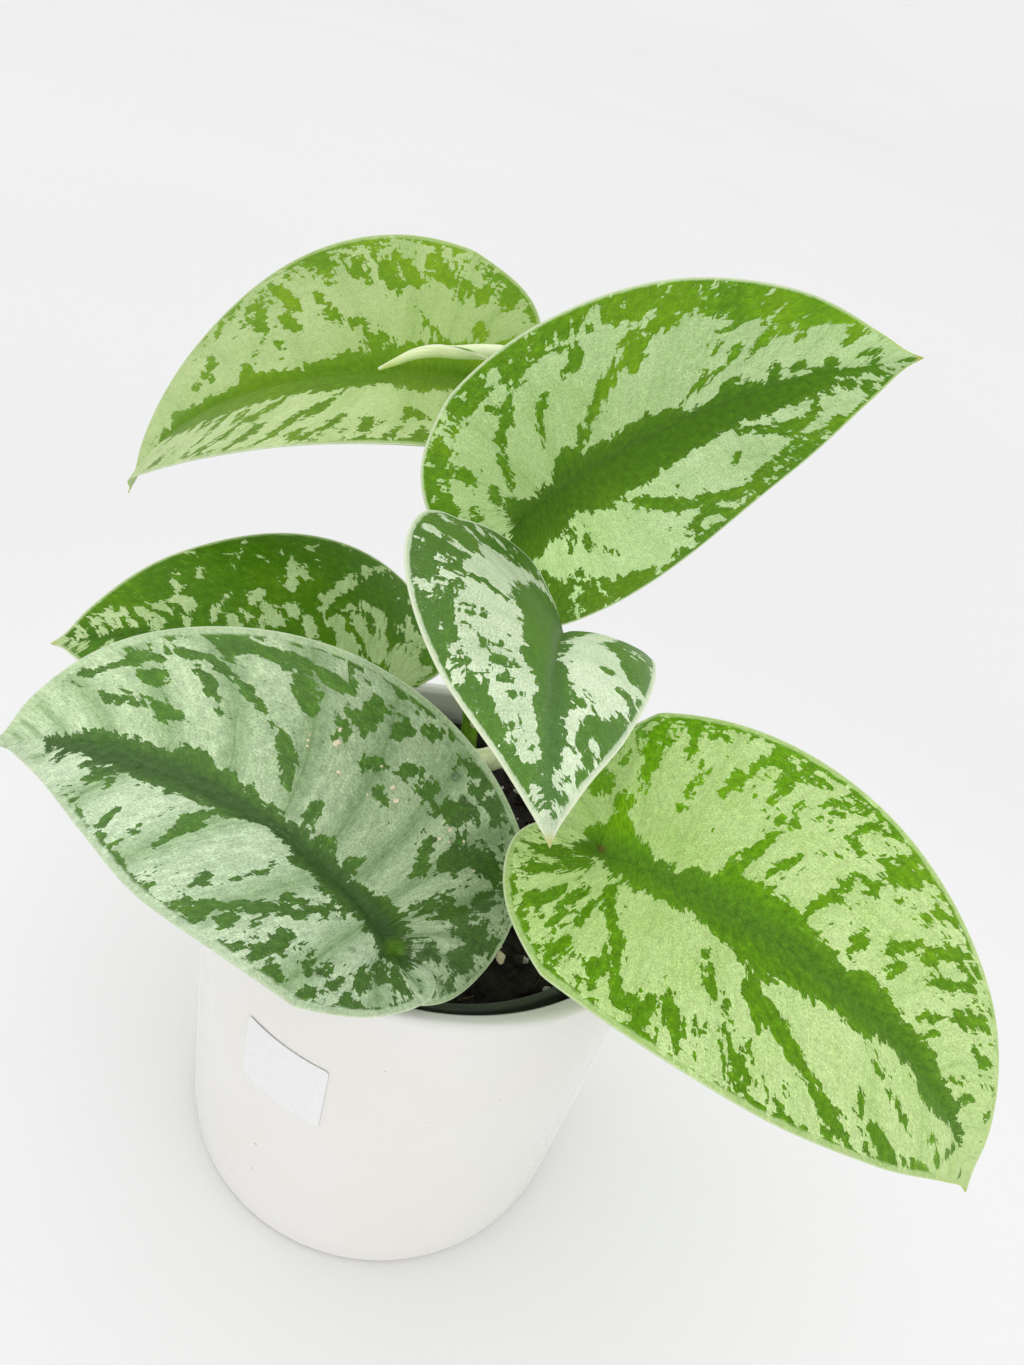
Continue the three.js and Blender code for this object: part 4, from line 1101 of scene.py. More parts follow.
class POTHOS_OT_nursery_pot(bpy.types.Operator):
    """Turns the plastic nursery pot, with its lip and drain holes"""

    bl_idname = "pothos.nursery_pot"
    bl_label = "Nursery pot"

    def execute(self, context):
        settings = context.scene.pothos_nursery_pot
        (_, _, low), (outer, _, top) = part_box("nursery_pot")
        wall, lip = settings.wall, settings.lip
        side_at = lambda z: 0.041 + (outer - lip - 0.041) * (z - low) / (top - low)
        profile = [(0.012, low + 0.001), (0.033, low + 0.001), (0.035, low), (0.0398, low)]
        profile += corner(0.0398, low + 0.0012, 0.0012, -90, 0, 4)
        profile += [(side_at(z), z) for z in np.linspace(low + 0.01, top - 0.0074, 9)]
        profile += [(outer - 0.0003, top - 0.007), (outer, top - 0.0065), (outer, top - 0.0012)]
        profile += corner(outer - 0.0006, top - 0.0006, 0.0006, 0, 90, 4)
        profile += corner(outer - lip - wall + 0.0006, top - 0.0006, 0.0006, 90, 180, 4)
        profile += [(side_at(z) - wall, z) for z in np.linspace(top - 0.008, low + 0.004, 9)]
        profile += [(0.038, low + 0.0024), (0.012, low + 0.0024)]
        pot = turn_profile("grow_pot", profile, 144)
        for i in range(5):
            turn = math.tau * (i + 0.5) / 5
            hole = {"vertices": 32, "radius": 0.004, "depth": 0.02}
            hole["location"] = (0.027 * math.cos(turn), 0.027 * math.sin(turn), low)
            drain = added("drain_tool", bpy.ops.mesh.primitive_cylinder_add, **hole)
            apply_modifier(pot, "BOOLEAN", operation="DIFFERENCE", object=drain, solver="EXACT")
            bpy.data.objects.remove(drain)
        finished(pot, "nursery_plastic", plastic_material(settings.plastic_color), replaced=["nursery_pot"], angle=38)
        return {"FINISHED"}


def soil_height(x, y):
    """The height of the loose mix at a point, in metres."""
    swell = noise.noise(Vector((x, y, 0.3)) * 55) * 0.0011
    lumps = noise.fractal(Vector((x, y, 0.7)) * 320, 0.8, 2.1, 3) * 0.0008
    edge = max(0.0, math.hypot(x, y) / SOIL_RADIUS - 0.86)
    return SOIL_TOP + 0.0012 + swell + lumps - edge * 0.008


def scattered(name, patterns, count, draw, place_size, slot, material):
    """One piece made of copies of the patterns, each turned, sized and seated on the soil."""
    copies = []
    for _ in range(count):
        pattern = draw.choice(patterns)
        x, y, size = place_size(draw)
        stretch = Vector(draw.uniform(0.75, 1.25) for _ in range(3)) * size
        turn = Matrix.Rotation(draw.uniform(0, math.tau), 4, "Z") @ Matrix.Rotation(draw.uniform(-0.5, 0.5), 4, "X")
        seat = Matrix.Translation((x, y, soil_height(x, y) + size * draw.uniform(0.05, 0.3)))
        copies.append(copied(pattern, seat @ turn @ Matrix.Diagonal((*stretch, 1))))
    piece = joined(name, copies)
    for pattern in patterns:
        bpy.data.objects.remove(pattern)
    return finished(piece, slot, material, angle=70)


def rough_pebble(name, detail, roughness, flat, seed):
    """A rough lump about one unit across, from a primitive ball."""

    def rough(x, y, z):
        swell = 1 + roughness * noise.noise(Vector((x, y, z)) * 3.1 + Vector((seed * 5.1, 0, seed)))
        return x * swell, y * swell, z * swell * flat

    return reshaped(added(name, bpy.ops.mesh.primitive_ico_sphere_add, subdivisions=detail, radius=0.5), rough)


def chip_pattern(name, length, width, height, seed):
    """A splintered chip of bark, from a primitive block."""
    chip = added(name, bpy.ops.mesh.primitive_cube_add, size=1, scale=(length, width, height))
    bpy.ops.object.transform_apply(scale=True)
    edit_whole(bpy.ops.mesh.subdivide)

    def splintered(*place):
        wobble = noise.noise_vector(Vector(place) * 2.7 + Vector((seed, seed, 0)))
        return np.array(place) + np.array(wobble) * 0.2 * np.array((length, width, height))

    return reshaped(chip, splintered)


class POTHOS_OT_soil(bpy.types.Operator):
    """Fills the nursery pot with loose mix, perlite and bark"""

    bl_idname = "pothos.soil"
    bl_label = "Potting mix"

    def execute(self, context):
        settings = context.scene.pothos_soil
        color = settings.soil_color
        earth = earth_material("Potting mix", color, toned(color, 2.6), 0.0012)
        plug = frame["nodes"]["soil"]
        plug.data.materials.clear()
        plug.data.materials.append(earth)

        start = {"vertices": 150, "radius": SOIL_RADIUS, "fill_type": "NOTHING"}
        crust = added("soil_surface", bpy.ops.mesh.primitive_circle_add, **start)
        bpy.ops.object.mode_set(mode="EDIT")
        bpy.ops.mesh.select_mode(type="EDGE")
        bpy.ops.mesh.select_all(action="SELECT")
        radius = SOIL_RADIUS
        for ring in range(46):
            step = (radius - SOIL_RADIUS / 46) / radius if ring < 45 else 0.001
            bpy.ops.mesh.extrude_edges_move()
            bpy.ops.transform.resize(value=(step, step, 1), center_override=(0, 0, 0))
            radius *= step
        bpy.ops.mesh.merge(type="CENTER")
        bpy.ops.mesh.select_all(action="SELECT")
        bpy.ops.mesh.normals_make_consistent(inside=False)
        bpy.ops.object.mode_set(mode="OBJECT")
        if crust.data.polygons[0].normal.z < 0:
            crust.data.flip_normals()
        reshaped(crust, lambda x, y, z: (x, y, soil_height(x, y)))
        apply_modifier(crust, "SOLIDIFY", thickness=0.0035, offset=-1)
        finished(crust, "potting_mix", earth, angle=70)

        draw = random.Random(SEED)
        noise.seed_set(SEED)

        def anywhere(low, high):
            def place_size(source):
                turn, out = source.uniform(0, math.tau), math.sqrt(source.random()) * (SOIL_RADIUS - 0.0015)
                return out * math.cos(turn), out * math.sin(turn), low + (high - low) * source.random() ** 2.2

            return place_size

        crumbs = [rough_pebble(f"crumb_{i}", 1, 0.9, 0.7, i) for i in range(6)]
        crumb_finish = earth_material("Soil crumbs", toned(color, 1.2), toned(color, 3.2), 0.0006)
        scattered("soil_crumbs", crumbs, settings.crumbs, draw, anywhere(0.0009, 0.0042), "potting_mix", crumb_finish)
        grains = [rough_pebble(f"grain_{i}", 2, 0.8, 0.8, i + 9) for i in range(4)]
        white = perlite_material()
        scattered("perlite", grains, settings.perlite, draw, anywhere(0.0006, 0.0028), "potting_mix", white)
        stones = [rough_pebble("stone", 3, 0.5, 0.7, 4)]
        stone_spots = iter(((0.0212, -0.0304, 0.0032), (-0.0316, 0.0252, 0.0028), (0.0405, 0.0162, 0.0024)))
        scattered("beige_stones", stones, 3, draw, lambda source: next(stone_spots), "potting_mix", grain_material())
        chips = [chip_pattern(f"chip_{i}", 1.8, 0.55, 0.3, i) for i in range(3)]
        chips += [chip_pattern(f"fibre_{i}", 2.6, 0.13, 0.12, i + 4) for i in range(2)]
        scattered("bark_chips", chips, settings.bark, draw, anywhere(0.0014, 0.0038), "potting_mix", bark_material())
        return {"FINISHED"}


# ---- Vines and the rolled leaf ----


def leaf_turn(leaf):
    """The turn of a leaf's own axes into the plant's."""
    turns = ((leaf["heading"], "Z"), (-leaf["pitch"], "Y"), (leaf["roll"], "X"))
    matrices = [Matrix.Rotation(math.radians(angle), 3, axis) for angle, axis in turns]
    return matrices[0] @ matrices[1] @ matrices[2]


def stalk_material(color):
    board = new_board("Green stalk")
    tones = {"Dark": (*toned(color, 0.8), 1), "Light": (*toned(color, 1.35), 1), "Dots": (0.42, 0.54, 0.25, 1)}
    skin = board.group("Stalk skin", stalk_skin, {"Place": board.object_place(), **tones})
    fleshy = {"Subsurface_Weight": 0.08, "Subsurface_Scale": 0.004, "Specular_IOR_Level": 0.25}
    return board.surface(skin["Color"], skin["Height"], (0.36, 0.46), 0.0002, 0.5, **fleshy)


def sheath_material(color):
    board = new_board("Pale sheath")
    place = board.object_place()
    fibres = board.noise(place, (700, 900, 300), 3.0, 0.6)
    tone = board.mix(board.span(fibres, 0.3, 0.75), toned(color, 0.84), color)
    tone = board.mix(board.span(board.noise(place, 260.0), 0.52, 0.72, 0, 0.4), tone, (0.42, 0.56, 0.2))
    return board.surface(tone, fibres, (0.45, 0.6), 0.0003, 0.6, Subsurface_Weight=0.15, Subsurface_Scale=0.003)


def new_leaf_material(color):
    board = new_board("New leaf")
    lines = board.noise(board.veins(), (14, 1.2, 1), 3.0, 0.6)
    lift, tip, slit_shadow = (board.value(key) for key in ("edge_distance", "tip_distance", "slit_shadow"))
    tone = board.mix(board.span(lines, 0.3, 0.7), toned(color, 0.88), toned(color, 1.1))
    for mask, shade in (
        (board.span(tip, 9, 2, 0, 0.75), (0.6, 0.72, 0.17)),
        (board.span(tip, 17, 30, 0, 0.8), (0.98, 1.0, 0.68)),
        (board.span(tip, 45, 80, 0, 0.55), (0.3, 0.47, 0.12)),
        # Painted shadow under the roll's free edge.
        (board.span(slit_shadow, 0.06, 0.5), (0.2, 0.36, 0.04)),
        (board.span(lift, 0.7, 0.2), (0.88, 0.93, 0.66)),
    ):
        tone = board.mix(mask, tone, shade)
    return board.surface(tone, lines, (0.4, 0.5), 0.0002, 0.6, Subsurface_Weight=0.12, Subsurface_Scale=0.004)


def tube(path, radii, sides=5):
    """A round stalk along a path of arrays, with a radius at each point."""
    clear_selection()
    bpy.ops.curve.primitive_nurbs_path_add()
    stalk = bpy.context.object
    curve = stalk.data
    curve.splines.clear()
    spline = curve.splines.new("POLY")
    spline.points.add(len(path) - 1)
    for point, place, radius in zip(spline.points, path, radii):
        point.co = (*place, 1)
        point.radius = radius / MM
    curve.dimensions = "3D"
    curve.bevel_depth = MM
    curve.bevel_resolution = sides
    curve.use_fill_caps = True
    bpy.ops.object.convert(target="MESH")
    return bpy.context.object


def stalk_route(stalk, settings):
    """A stalk's path and radii in metres, up to the underside of its leaf."""
    points = list(stalk["path"])
    first, last = stalk["radius"]
    if "leaf" in stalk:
        leaf = LEAVES[stalk["leaf"]]
        down = leaf_turn(leaf) @ Vector((0, 0, -1))
        points.append(tuple(Vector(leaf["at"]) + down * (last + 0.55)))
    steps = 16 * (len(points) - 1)
    path = smooth_path(points, steps)
    along = np.linspace(0, 1, steps + 1)
    radii = (first + (last - first) * along) * MM
    if "leaf" in stalk:
        radii += 0.0007 * np.exp(-((along / 0.07) ** 2)) + 0.0004 * np.exp(-(((1 - along) / 0.05) ** 2))
    else:
        for place in (0.3, 0.52, 0.74, 0.9):
            radii += settings.node_swell * np.exp(-(((along - place) / 0.018) ** 2))
    return path, radii


def sheath_wings(path, radii, height):
    """Two thin wings along a petiole's upper side, which run out half way up."""
    count = len(path) * 55 // 100
    sides, others = path_frames(path, (0.3, -0.5, 0.8))
    pieces = []
    for sign in (-1, 1):

        def risen(x, y, _):
            up = (x + 1) / 2
            k = min(int(round((y + 1) / 2 * (count - 1))), count - 1)
            lean = math.radians(sign * (38 - 22 * up))
            direction = sides[k] * math.cos(lean) + others[k] * math.sin(lean)
            rise = height * (1 - (k / (count - 1)) ** 1.7) * up
            return path[k] + direction * (radii[k] * 0.93 + rise)

        grid = {"x_subdivisions": 3, "y_subdivisions": count - 1, "size": 2}
        wing = reshaped(added("wing", bpy.ops.mesh.primitive_grid_add, **grid), risen)
        apply_modifier(wing, "SOLIDIFY", thickness=0.0009, offset=0)
        pieces.append(wing)
    return pieces


class POTHOS_OT_vines(bpy.types.Operator):
    """Grows the two rooted vines and their petioles"""

    bl_idname = "pothos.vines"
    bl_label = "Vines"

    def execute(self, context):
        settings = context.scene.pothos_vines
        material, wings = stalk_material(settings.stalk_color), []
        for name, node, vine in (("tall_stem", "tall_vine", TALL_VINE), ("low_stem", "low_vine", LOW_VINE)):
            parts = []
            for stalk in vine:
                path, radii = stalk_route(stalk, settings)
                parts.append(tube(path, radii))
                if "leaf" in stalk:
                    wings += sheath_wings(path, radii, settings.sheath)
            stem = joined(name, parts)
            apply_modifier(stem, "REMESH", mode="VOXEL", voxel_size=0.00042, adaptivity=0)
            apply_modifier(stem, "SMOOTH", factor=0.5, iterations=4)
            finished(stem, "stalk", material, replaced=[node], angle=80)
        paper = sheath_material(settings.sheath_color)
        finished(joined("petiole_wings", wings), "stalk", paper, angle=80)

        path = smooth_path(LOW_VINE[0]["path"], 100)
        sides, others = path_frames(path, (0, 0, 1))
        start = {"vertices": 72, "radius": 1, "depth": 2, "end_fill_type": "NOTHING"}
        sleeve = added("torn_sheath", bpy.ops.mesh.primitive_cylinder_add, **start)
        edit_whole(lambda: bpy.ops.mesh.subdivide(number_cuts=14))

        def torn_round(x, y, z):
            turn = math.atan2(y, x)
            torn = noise.fractal(Vector((3 * x, 3 * y, 0)), 0.7, 2.1, 3) * 2.4 + 1.2 * max(0, math.cos(turn))
            run = 88 + 9.5 * z - (torn if z < 0 else 0.6 * torn) * abs(z)
            k = int(np.clip(run, 1, 98))
            at = path[k] + (path[k + 1] - path[k]) * (run - k)
            loose = (3.45 + 0.55 * max(0, -z) ** 2 + 0.12 * math.sin(5 * turn + 4 * z)) * MM
            return at + (sides[k] * math.cos(turn) + others[k] * math.sin(turn)) * loose

        reshaped(sleeve, torn_round)
        apply_modifier(sleeve, "SOLIDIFY", thickness=0.00035, offset=0)
        finished(sleeve, "stalk", paper, angle=80)
        return {"FINISHED"}


class POTHOS_OT_rolled_leaf(bpy.types.Operator):
    """Rolls the new leaf into its pointed spike"""

    bl_idname = "pothos.rolled_leaf"
    bl_label = "Rolled leaf"

    def execute(self, context):
        settings = context.scene.pothos_vines
        steps, around, turns = 110, 60, 1.42
        path = smooth_path(SPIKE_PATH, steps)
        length = np.linalg.norm(np.diff(path, axis=0), axis=1).sum() / MM
        sides, others = path_frames(path, (0, -0.3, 1))
        grid = {"x_subdivisions": around, "y_subdivisions": steps, "size": 2}
        spike = added("rolled_new_leaf", bpy.ops.mesh.primitive_grid_add, **grid)
        veins = spike.data.uv_layers.new(name="veins") if not spike.data.uv_layers else spike.data.uv_layers[0]
        veins.name = "veins"
        flat = coordinates(spike)
        for loop in spike.data.loops:
            x, y, _ = flat[loop.vertex_index]
            veins.data[loop.index].uv = ((x + 1) * 0.7, (y + 1) / 2 * length / 10)
        places = flat.copy()
        edge, tip, slit_shadow = [], [], []
        from_tip, swells, turned = zip(*SPIKE_ROLL)
        for i, (x, y, _) in enumerate(flat):
            u, v = (y + 1) / 2, (x + 1) / 2
            k = min(int(round(u * steps)), steps)
            run = (1 - u) * length
            swell = np.interp(run, from_tip, swells)
            flap = 0.3 * max(0, v - 0.9) / 0.1 * math.exp(-(((run - 19) / 7) ** 2))
            radius = MM * (swell * (0.7 + 0.3 * v) + flap)
            angle = math.radians(np.interp(run, from_tip, turned)) - math.tau * turns * (1 - v)
            places[i] = path[k] + (sides[k] * math.cos(angle) + others[k] * math.sin(angle)) * radius
            edge.append((1 - v) * math.tau * turns * swell)
            tip.append(run)
            # Painted shadow: a dark line on the layer below, just past where the roll's free edge lies over it.
            under = (v - 1 + 1 / turns) * math.tau * turns * swell
            slit_shadow.append(math.exp(-(((under - 0.35) / 0.4) ** 2)) * math.exp(-(((run - 17) / 8) ** 4)))
        place_vertices(spike, places)
        for key, values in (("edge_distance", edge), ("tip_distance", tip), ("slit_shadow", slit_shadow)):
            point_values(spike, key, values)
        apply_modifier(spike, "SOLIDIFY", thickness=0.0004, offset=0)
        finished(spike, "new_leaf", new_leaf_material(settings.new_leaf_color), replaced=["rolled_leaf"], angle=70)
        return {"FINISHED"}


# ---- Leaves ----


def outline_at(vein):
    """The half outline at these shares of the way from base to tip, as (..., 3)."""
    knots = np.array(OUTLINE)
    last = len(knots) - 1
    knots = np.vstack([2 * knots[0] - knots[1], knots, 2 * knots[-1] - knots[-2]])
    k = np.clip(np.floor(vein * last).astype(int), 0, last - 1)
    f = (vein * last - k)[..., None]
    a, b, c, d = knots[k], knots[k + 1], knots[k + 2], knots[k + 3]
    return 0.5 * (2 * b + (c - a) * f + (2 * a - 5 * b + 4 * c - d) * f**2 + (3 * b - a - 3 * c + d) * f**3)


def flat_blade(leaf, half, vein, reach):
    """Where a point of one half lies before the blade is bent, in mm along and out from the midrib."""
    length, width = leaf["length"], leaf["half_width"][half]
    knot = outline_at(vein)
    lobe = np.where(knot[..., 0] < 0, leaf["lobe"][half] / OUTLINE_LOBE, 1)
    closed = 1 - leaf.get("closed", 0) * np.clip(1 - 8 * vein, 0, 1) ** 1.5
    edge_x, edge_y = knot[..., 0] * lobe * length, np.maximum(knot[..., 1], 0) * width * closed
    root = np.maximum(knot[..., 2], 0) * length
    bend_x, bend_y = root + 0.3 * (edge_x - root), 0.55 * edge_y
    x = (1 - reach) ** 2 * root + 2 * reach * (1 - reach) * bend_x + reach**2 * edge_x
    return x, 2 * reach * (1 - reach) * bend_y + reach**2 * edge_y


def turned_about(vectors, axes, angles):
    """Vectors turned about unit axes by angles."""
    cos, sin = np.cos(angles)[..., None], np.sin(angles)[..., None]
    return vectors * cos + np.cross(axes, vectors) * sin + axes * (axes * vectors).sum(-1, keepdims=True) * (1 - cos)


def bent_blade(leaf, half, vein, reach):
    """Where a point of one half lies on the grown plant, in metres."""
    x, y = flat_blade(leaf, half, vein, reach)
    length, width = leaf["length"], leaf["half_width"][half]
    u = np.clip(x / length, 0, 1)
    arch, sweep = math.radians(leaf["arch"]), math.radians(leaf["sweep"])
    sines = lambda k: np.sin(k * u) / k
    versines = lambda k: (1 - np.cos(k * u)) / k
    rise, swing = -arch * u, sweep * u
    forward = (sines(arch - sweep) + sines(arch + sweep)) / 2
    aside = (versines(arch + sweep) + versines(sweep - arch)) / 2
    place = length * np.stack([forward, aside, -versines(arch)], -1)
    along = np.stack([np.cos(rise) * np.cos(swing), np.cos(rise) * np.sin(swing), np.sin(rise)], -1)
    left = np.stack([-np.sin(swing), np.cos(swing), 0 * swing], -1)
    up = np.cross(along, left)
    twist = np.radians(leaf["twist"] * u)
    left, up = turned_about(left, along, twist), turned_about(up, along, twist)
    back, lift = np.minimum(x, 0), math.radians(leaf["lift"][half])
    fold = np.radians(leaf["fold_base"][half] * (1 - u) + leaf["fold_tip"][half] * u)
    curl = math.radians(leaf["curl"][half])
    turned = fold - curl * y / width
    wave = 0.7 * reach**2 * np.sin(6 * math.pi * vein) * np.sin(math.pi * vein)
    out = width / curl * (np.sin(fold) - np.sin(turned))
    high = width / curl * (np.cos(turned) - np.cos(fold)) - back * math.sin(lift) + wave
    sign = 1 if half == LEFT else -1
    place = place + along * (back * math.cos(lift))[..., None] + left * (sign * out)[..., None] + up * high[..., None]
    return (place @ np.array(leaf_turn(leaf)).T + np.array(leaf["at"], float)) * MM


def stroke_distance(leaf, half, stroke, x, y):
    """How far points lie outside a brush stroke, in mm."""
    *knots, width = stroke
    knots = np.reshape(knots, (-1, 2)) / 100
    run = np.linspace(0, len(knots) - 1, 5 * (len(knots) - 1) + 1)
    vein, reach = (np.interp(run, range(len(knots)), knots[:, k]) for k in (0, 1))
    px, py = flat_blade(leaf, half, vein, reach)
    nearest = np.full(x.shape, 99.0)
    for i in range(len(px) - 1):
        dx, dy = px[i + 1] - px[i], py[i + 1] - py[i]
        share = np.clip(((x - px[i]) * dx + (y - py[i]) * dy) / (dx * dx + dy * dy + 1e-9), 0, 1)
        along = (i + share) / (len(px) - 1)
        thickness = width / 2 * (0.45 + 0.55 * np.sin(math.pi * along))
        nearest = np.minimum(nearest, np.hypot(x - px[i] - share * dx, y - py[i] - share * dy) - thickness)
    return nearest


def silver_field(leaf, half, vein, reach, x, y, span):
    """How far inside the silver each point lies, in mm: below nought is green."""
    marks = leaf["marks"][half]

    def along(line, column=1):
        knots = np.array(marks[line], float)
        return np.interp(100 * vein, knots[:, 0], knots[:, column])

    if marks.get("ground") == "green":
        field = np.where(vein > 0.9, (vein - 0.9) * 60, -1.9)
    else:
        hem, start = along("hem") / 100, along("mottle") / 100
        mottled = np.clip((reach - start) / np.maximum(0.92 - start, 0.15), 0, 1)
        field = 2.2 - along("mottle", 2) * mottled**0.7
        hemmed = np.minimum(field, np.maximum((hem - reach) * span, -leaf.get("hem_depth", 1.1)))
        field = np.where(hem > 0.99, field, hemmed)
    for stroke in marks.get("green", ()):
        outside = stroke_distance(leaf, half, stroke, x, y) - leaf.get("bold", 0)
        field = np.minimum(field, np.maximum(1.2 * outside, -1.8))
    for stroke in marks.get("silver", ()):
        field = np.maximum(field, -1.2 * stroke_distance(leaf, half, stroke, x, y))
    band = along("band") / 100
    field = np.where(band > 0.005, np.minimum(field, np.maximum((reach - band) * span, -6)), field)
    return np.clip(field, -6, 2.2)


def blade_top_material(name, leaf, settings):
    board, tones, pebbled, gritty = new_board(name), leaf["tones"], leaf["pebbled"], leaf["gritty"]
    light_finish, veins = leaf["finish"] == "light", board.veins()
    rib, edge, tip, base = (board.value(f"{part}_distance") for part in ("rib", "edge", "tip", "base"))
    splashes = {"Veins": veins, "Field": board.value("silver_field"), "Jag": settings.jag}
    silver = board.group("Silver splashes", silver_splashes, splashes)["Silver"]
    grain = board.group("Leaf grain", leaf_grain, {"Veins": veins})

    def shaded(color, pebbled, gritty, light):
        """A colour made lighter and darker by the cells and the grit, and by painted light and shade."""
        cells = board.span(grain["Pebbles"], 0.3, 0.7, 1 - pebbled, 1 + pebbled, smooth=False)
        grit = board.span(grain["Grains"], 0.3, 0.7, 1 - gritty, 1 + gritty, smooth=False)
        both = board.times(board.times(cells, grit), light)
        return board.mix(1.0, color, board.add("CombineColor", dict.fromkeys(range(3), both)).outputs[0], "MULTIPLY")

    def green_ground():
        """The green, darker over the midrib, with painted light and shade along the half."""
        clouds = board.noise(board.object_place(), 38.0)
        green = board.mix(board.span(clouds, 0.42, 0.75, 0, 0.5), tones["green"], tones["fresh"])
        green = board.mix(board.span(grain["Pebbles"], 0.56, 0.78, 0, 2 * pebbled), green, tones["fresh"])
        fade, strength = leaf["rib_fade"]
        green = board.mix(board.span(rib, fade, 0.3, 0, strength), green, tones["rib"])
        # Painted light and shade of the green along the half.
        green = shaded(green, pebbled, gritty, board.value("green_painted_light"))
        return board.mix(board.span(base, 4.2, 1.2, 0, leaf.get("spot", 0)), green, tones["fresh"])

    def silver_tones():
        """The silver, and the tone that the hem takes from it."""
        patches = board.span(grain["Tone"], 0.34, 0.6)
        plain, whiter = (
            board.mix(patches, toned(tones["silver_low"], *tint), toned(tones["silver"], *tint))
            for tint in ((1, 1, 1), (1.08, 0.99, 1.3))
        )
        pale = board.mix(board.value("silver_white"), plain, whiter)
        if light_finish:
            pale = board.mix(board.span(base, 60.0, 12.0, 0, 0.22), pale, tones["fresh"])
        # Painted light and shade of the silver along the half; the hem takes part of it.
        light = board.value("silver_painted_light")
        # Painted shade in the fine creases: the silver is drawn lighter and darker by a crease noise.
        if "crease_shade" in leaf:
            deep, creases = leaf["crease_shade"], board.noise(veins, (8, 3, 1), 3.0, 0.65)
            light = board.times(light, board.span(creases, 0.36, 0.64, 1 - deep, 1 + deep, smooth=False))
        hem_tone = shaded(pale, 0.06, 0.5 * gritty, board.span(light, 0.5, 1.5, 0.7, 1.3, smooth=False))
        # Painted shade in the valleys between the side veins: the silver is drawn darker and greener there.
        fold, (valley, depth) = board.value("side_vein"), leaf.get("folds", (0.75, 0.12))
        pale = board.mix(board.span(fold, valley, 0.1, 0, depth), pale, toned(tones["silver_low"], 0.56, 0.68, 0.52))
        pale = shaded(pale, 0.5 * pebbled, gritty, light)
        return board.mix(board.span(fold, 0.14, 0.02, 0, 0.3), pale, tones["green"]), hem_tone

    pale, hem_tone = silver_tones()
    face = board.mix(silver, green_ground(), pale)
    width, strength = leaf["hem"]
    worn = board.times(board.math("SUBTRACT", board.noise(veins, (4.5, 6, 1)), 0.5), 3.4)
    hem = board.plus(edge, board.times(worn, 0.2 * width))
    line = settings.hem_color
    if light_finish:
        line = board.mix(board.span(tip, *YOUNG_MARGIN), line, settings.young_hem_color)
    for mask, tone in (
        (board.span(hem, width, 0.6 * width, 0, strength), hem_tone),
        (board.span(edge, 0.55, 0.2, 0, leaf["margin"]), line),
        (board.span(tip, 3.5, 0.8, 0, 0.75), (0.5, 0.52, 0.1)),
        (board.span(base, 1.7, 0.8, 0, leaf.get("scar", 0)), (0.17, 0.1, 0.03)),
    ):
        face = board.mix(mask, face, tone)
    height = board.plus(grain["Height"], board.times(silver, 0.15))
    crumple = board.bump(board.noise(veins, (2.6, 1.5, 1), 3.0, 0.6), 0.002 * leaf["quilting"], 0.8)
    rough = board.span(silver, 0, 1, 0.4, 0.52, smooth=False)
    given = {"Base Color": face, "Roughness": rough, "Normal": board.bump(height, 0.0003, 0.75, Normal=crumple)}
    return board.finish(given, Specular_IOR_Level=leaf["gloss"])


def underside_material(color):
    board = new_board("Blade underside")
    grain = board.group("Leaf grain", leaf_grain, {"Veins": board.veins()})
    rib, edge, tip = (board.value(f"{part}_distance") for part in ("rib", "edge", "tip"))
    tone = board.mix(board.span(grain["Tone"], 0.25, 0.8), toned(color, 0.85), toned(color, 1.12))
    tone = board.mix(board.span(rib, 2.2, 0.8), tone, (0.42, 0.55, 0.24))
    tone = board.mix(board.span(edge, 0.8, 0.3), tone, (0.5, 0.62, 0.34))
    # Yellow-green near the tip, as the blade's tip is, and drawn lighter there as painted light where the turned tip
    # faces away from the lamps.
    tone = board.mix(board.span(tip, 14.0, 6.0, 0, 0.9), tone, (0.5, 0.7, 0.16))
    height = grain["Height"]
    return board.surface(tone, grain["Tone"], (0.5, 0.62), 0.00025, 0.7, height, (0.2, 0.8), Specular_IOR_Level=0.4)


def margin_material(name, color, young=None):
    board = new_board(name)
    beads = board.noise(board.veins(), (8, 8, 1))
    tone = board.mix(board.span(beads, 0.3, 0.7), toned(color, 0.85), toned(color, 1.15))
    if young:
        tone = board.mix(board.span(board.value("tip_distance"), *YOUNG_MARGIN), tone, young)
    return board.surface(tone, beads, (0.4, 0.55))


def edge_gap(leaf, half, x, y):
    """How far points of a flat half lie from its margin, in mm."""
    margin = np.stack(flat_blade(leaf, half, np.linspace(0, 1, 400), np.ones(400)), 1)
    gap = np.empty(len(x))
    for start in range(0, len(x), 4000):
        part = slice(start, start + 4000)
        gap[part] = np.hypot(x[part, None] - margin[:, 0], y[part, None] - margin[:, 1]).min(1)
    return gap


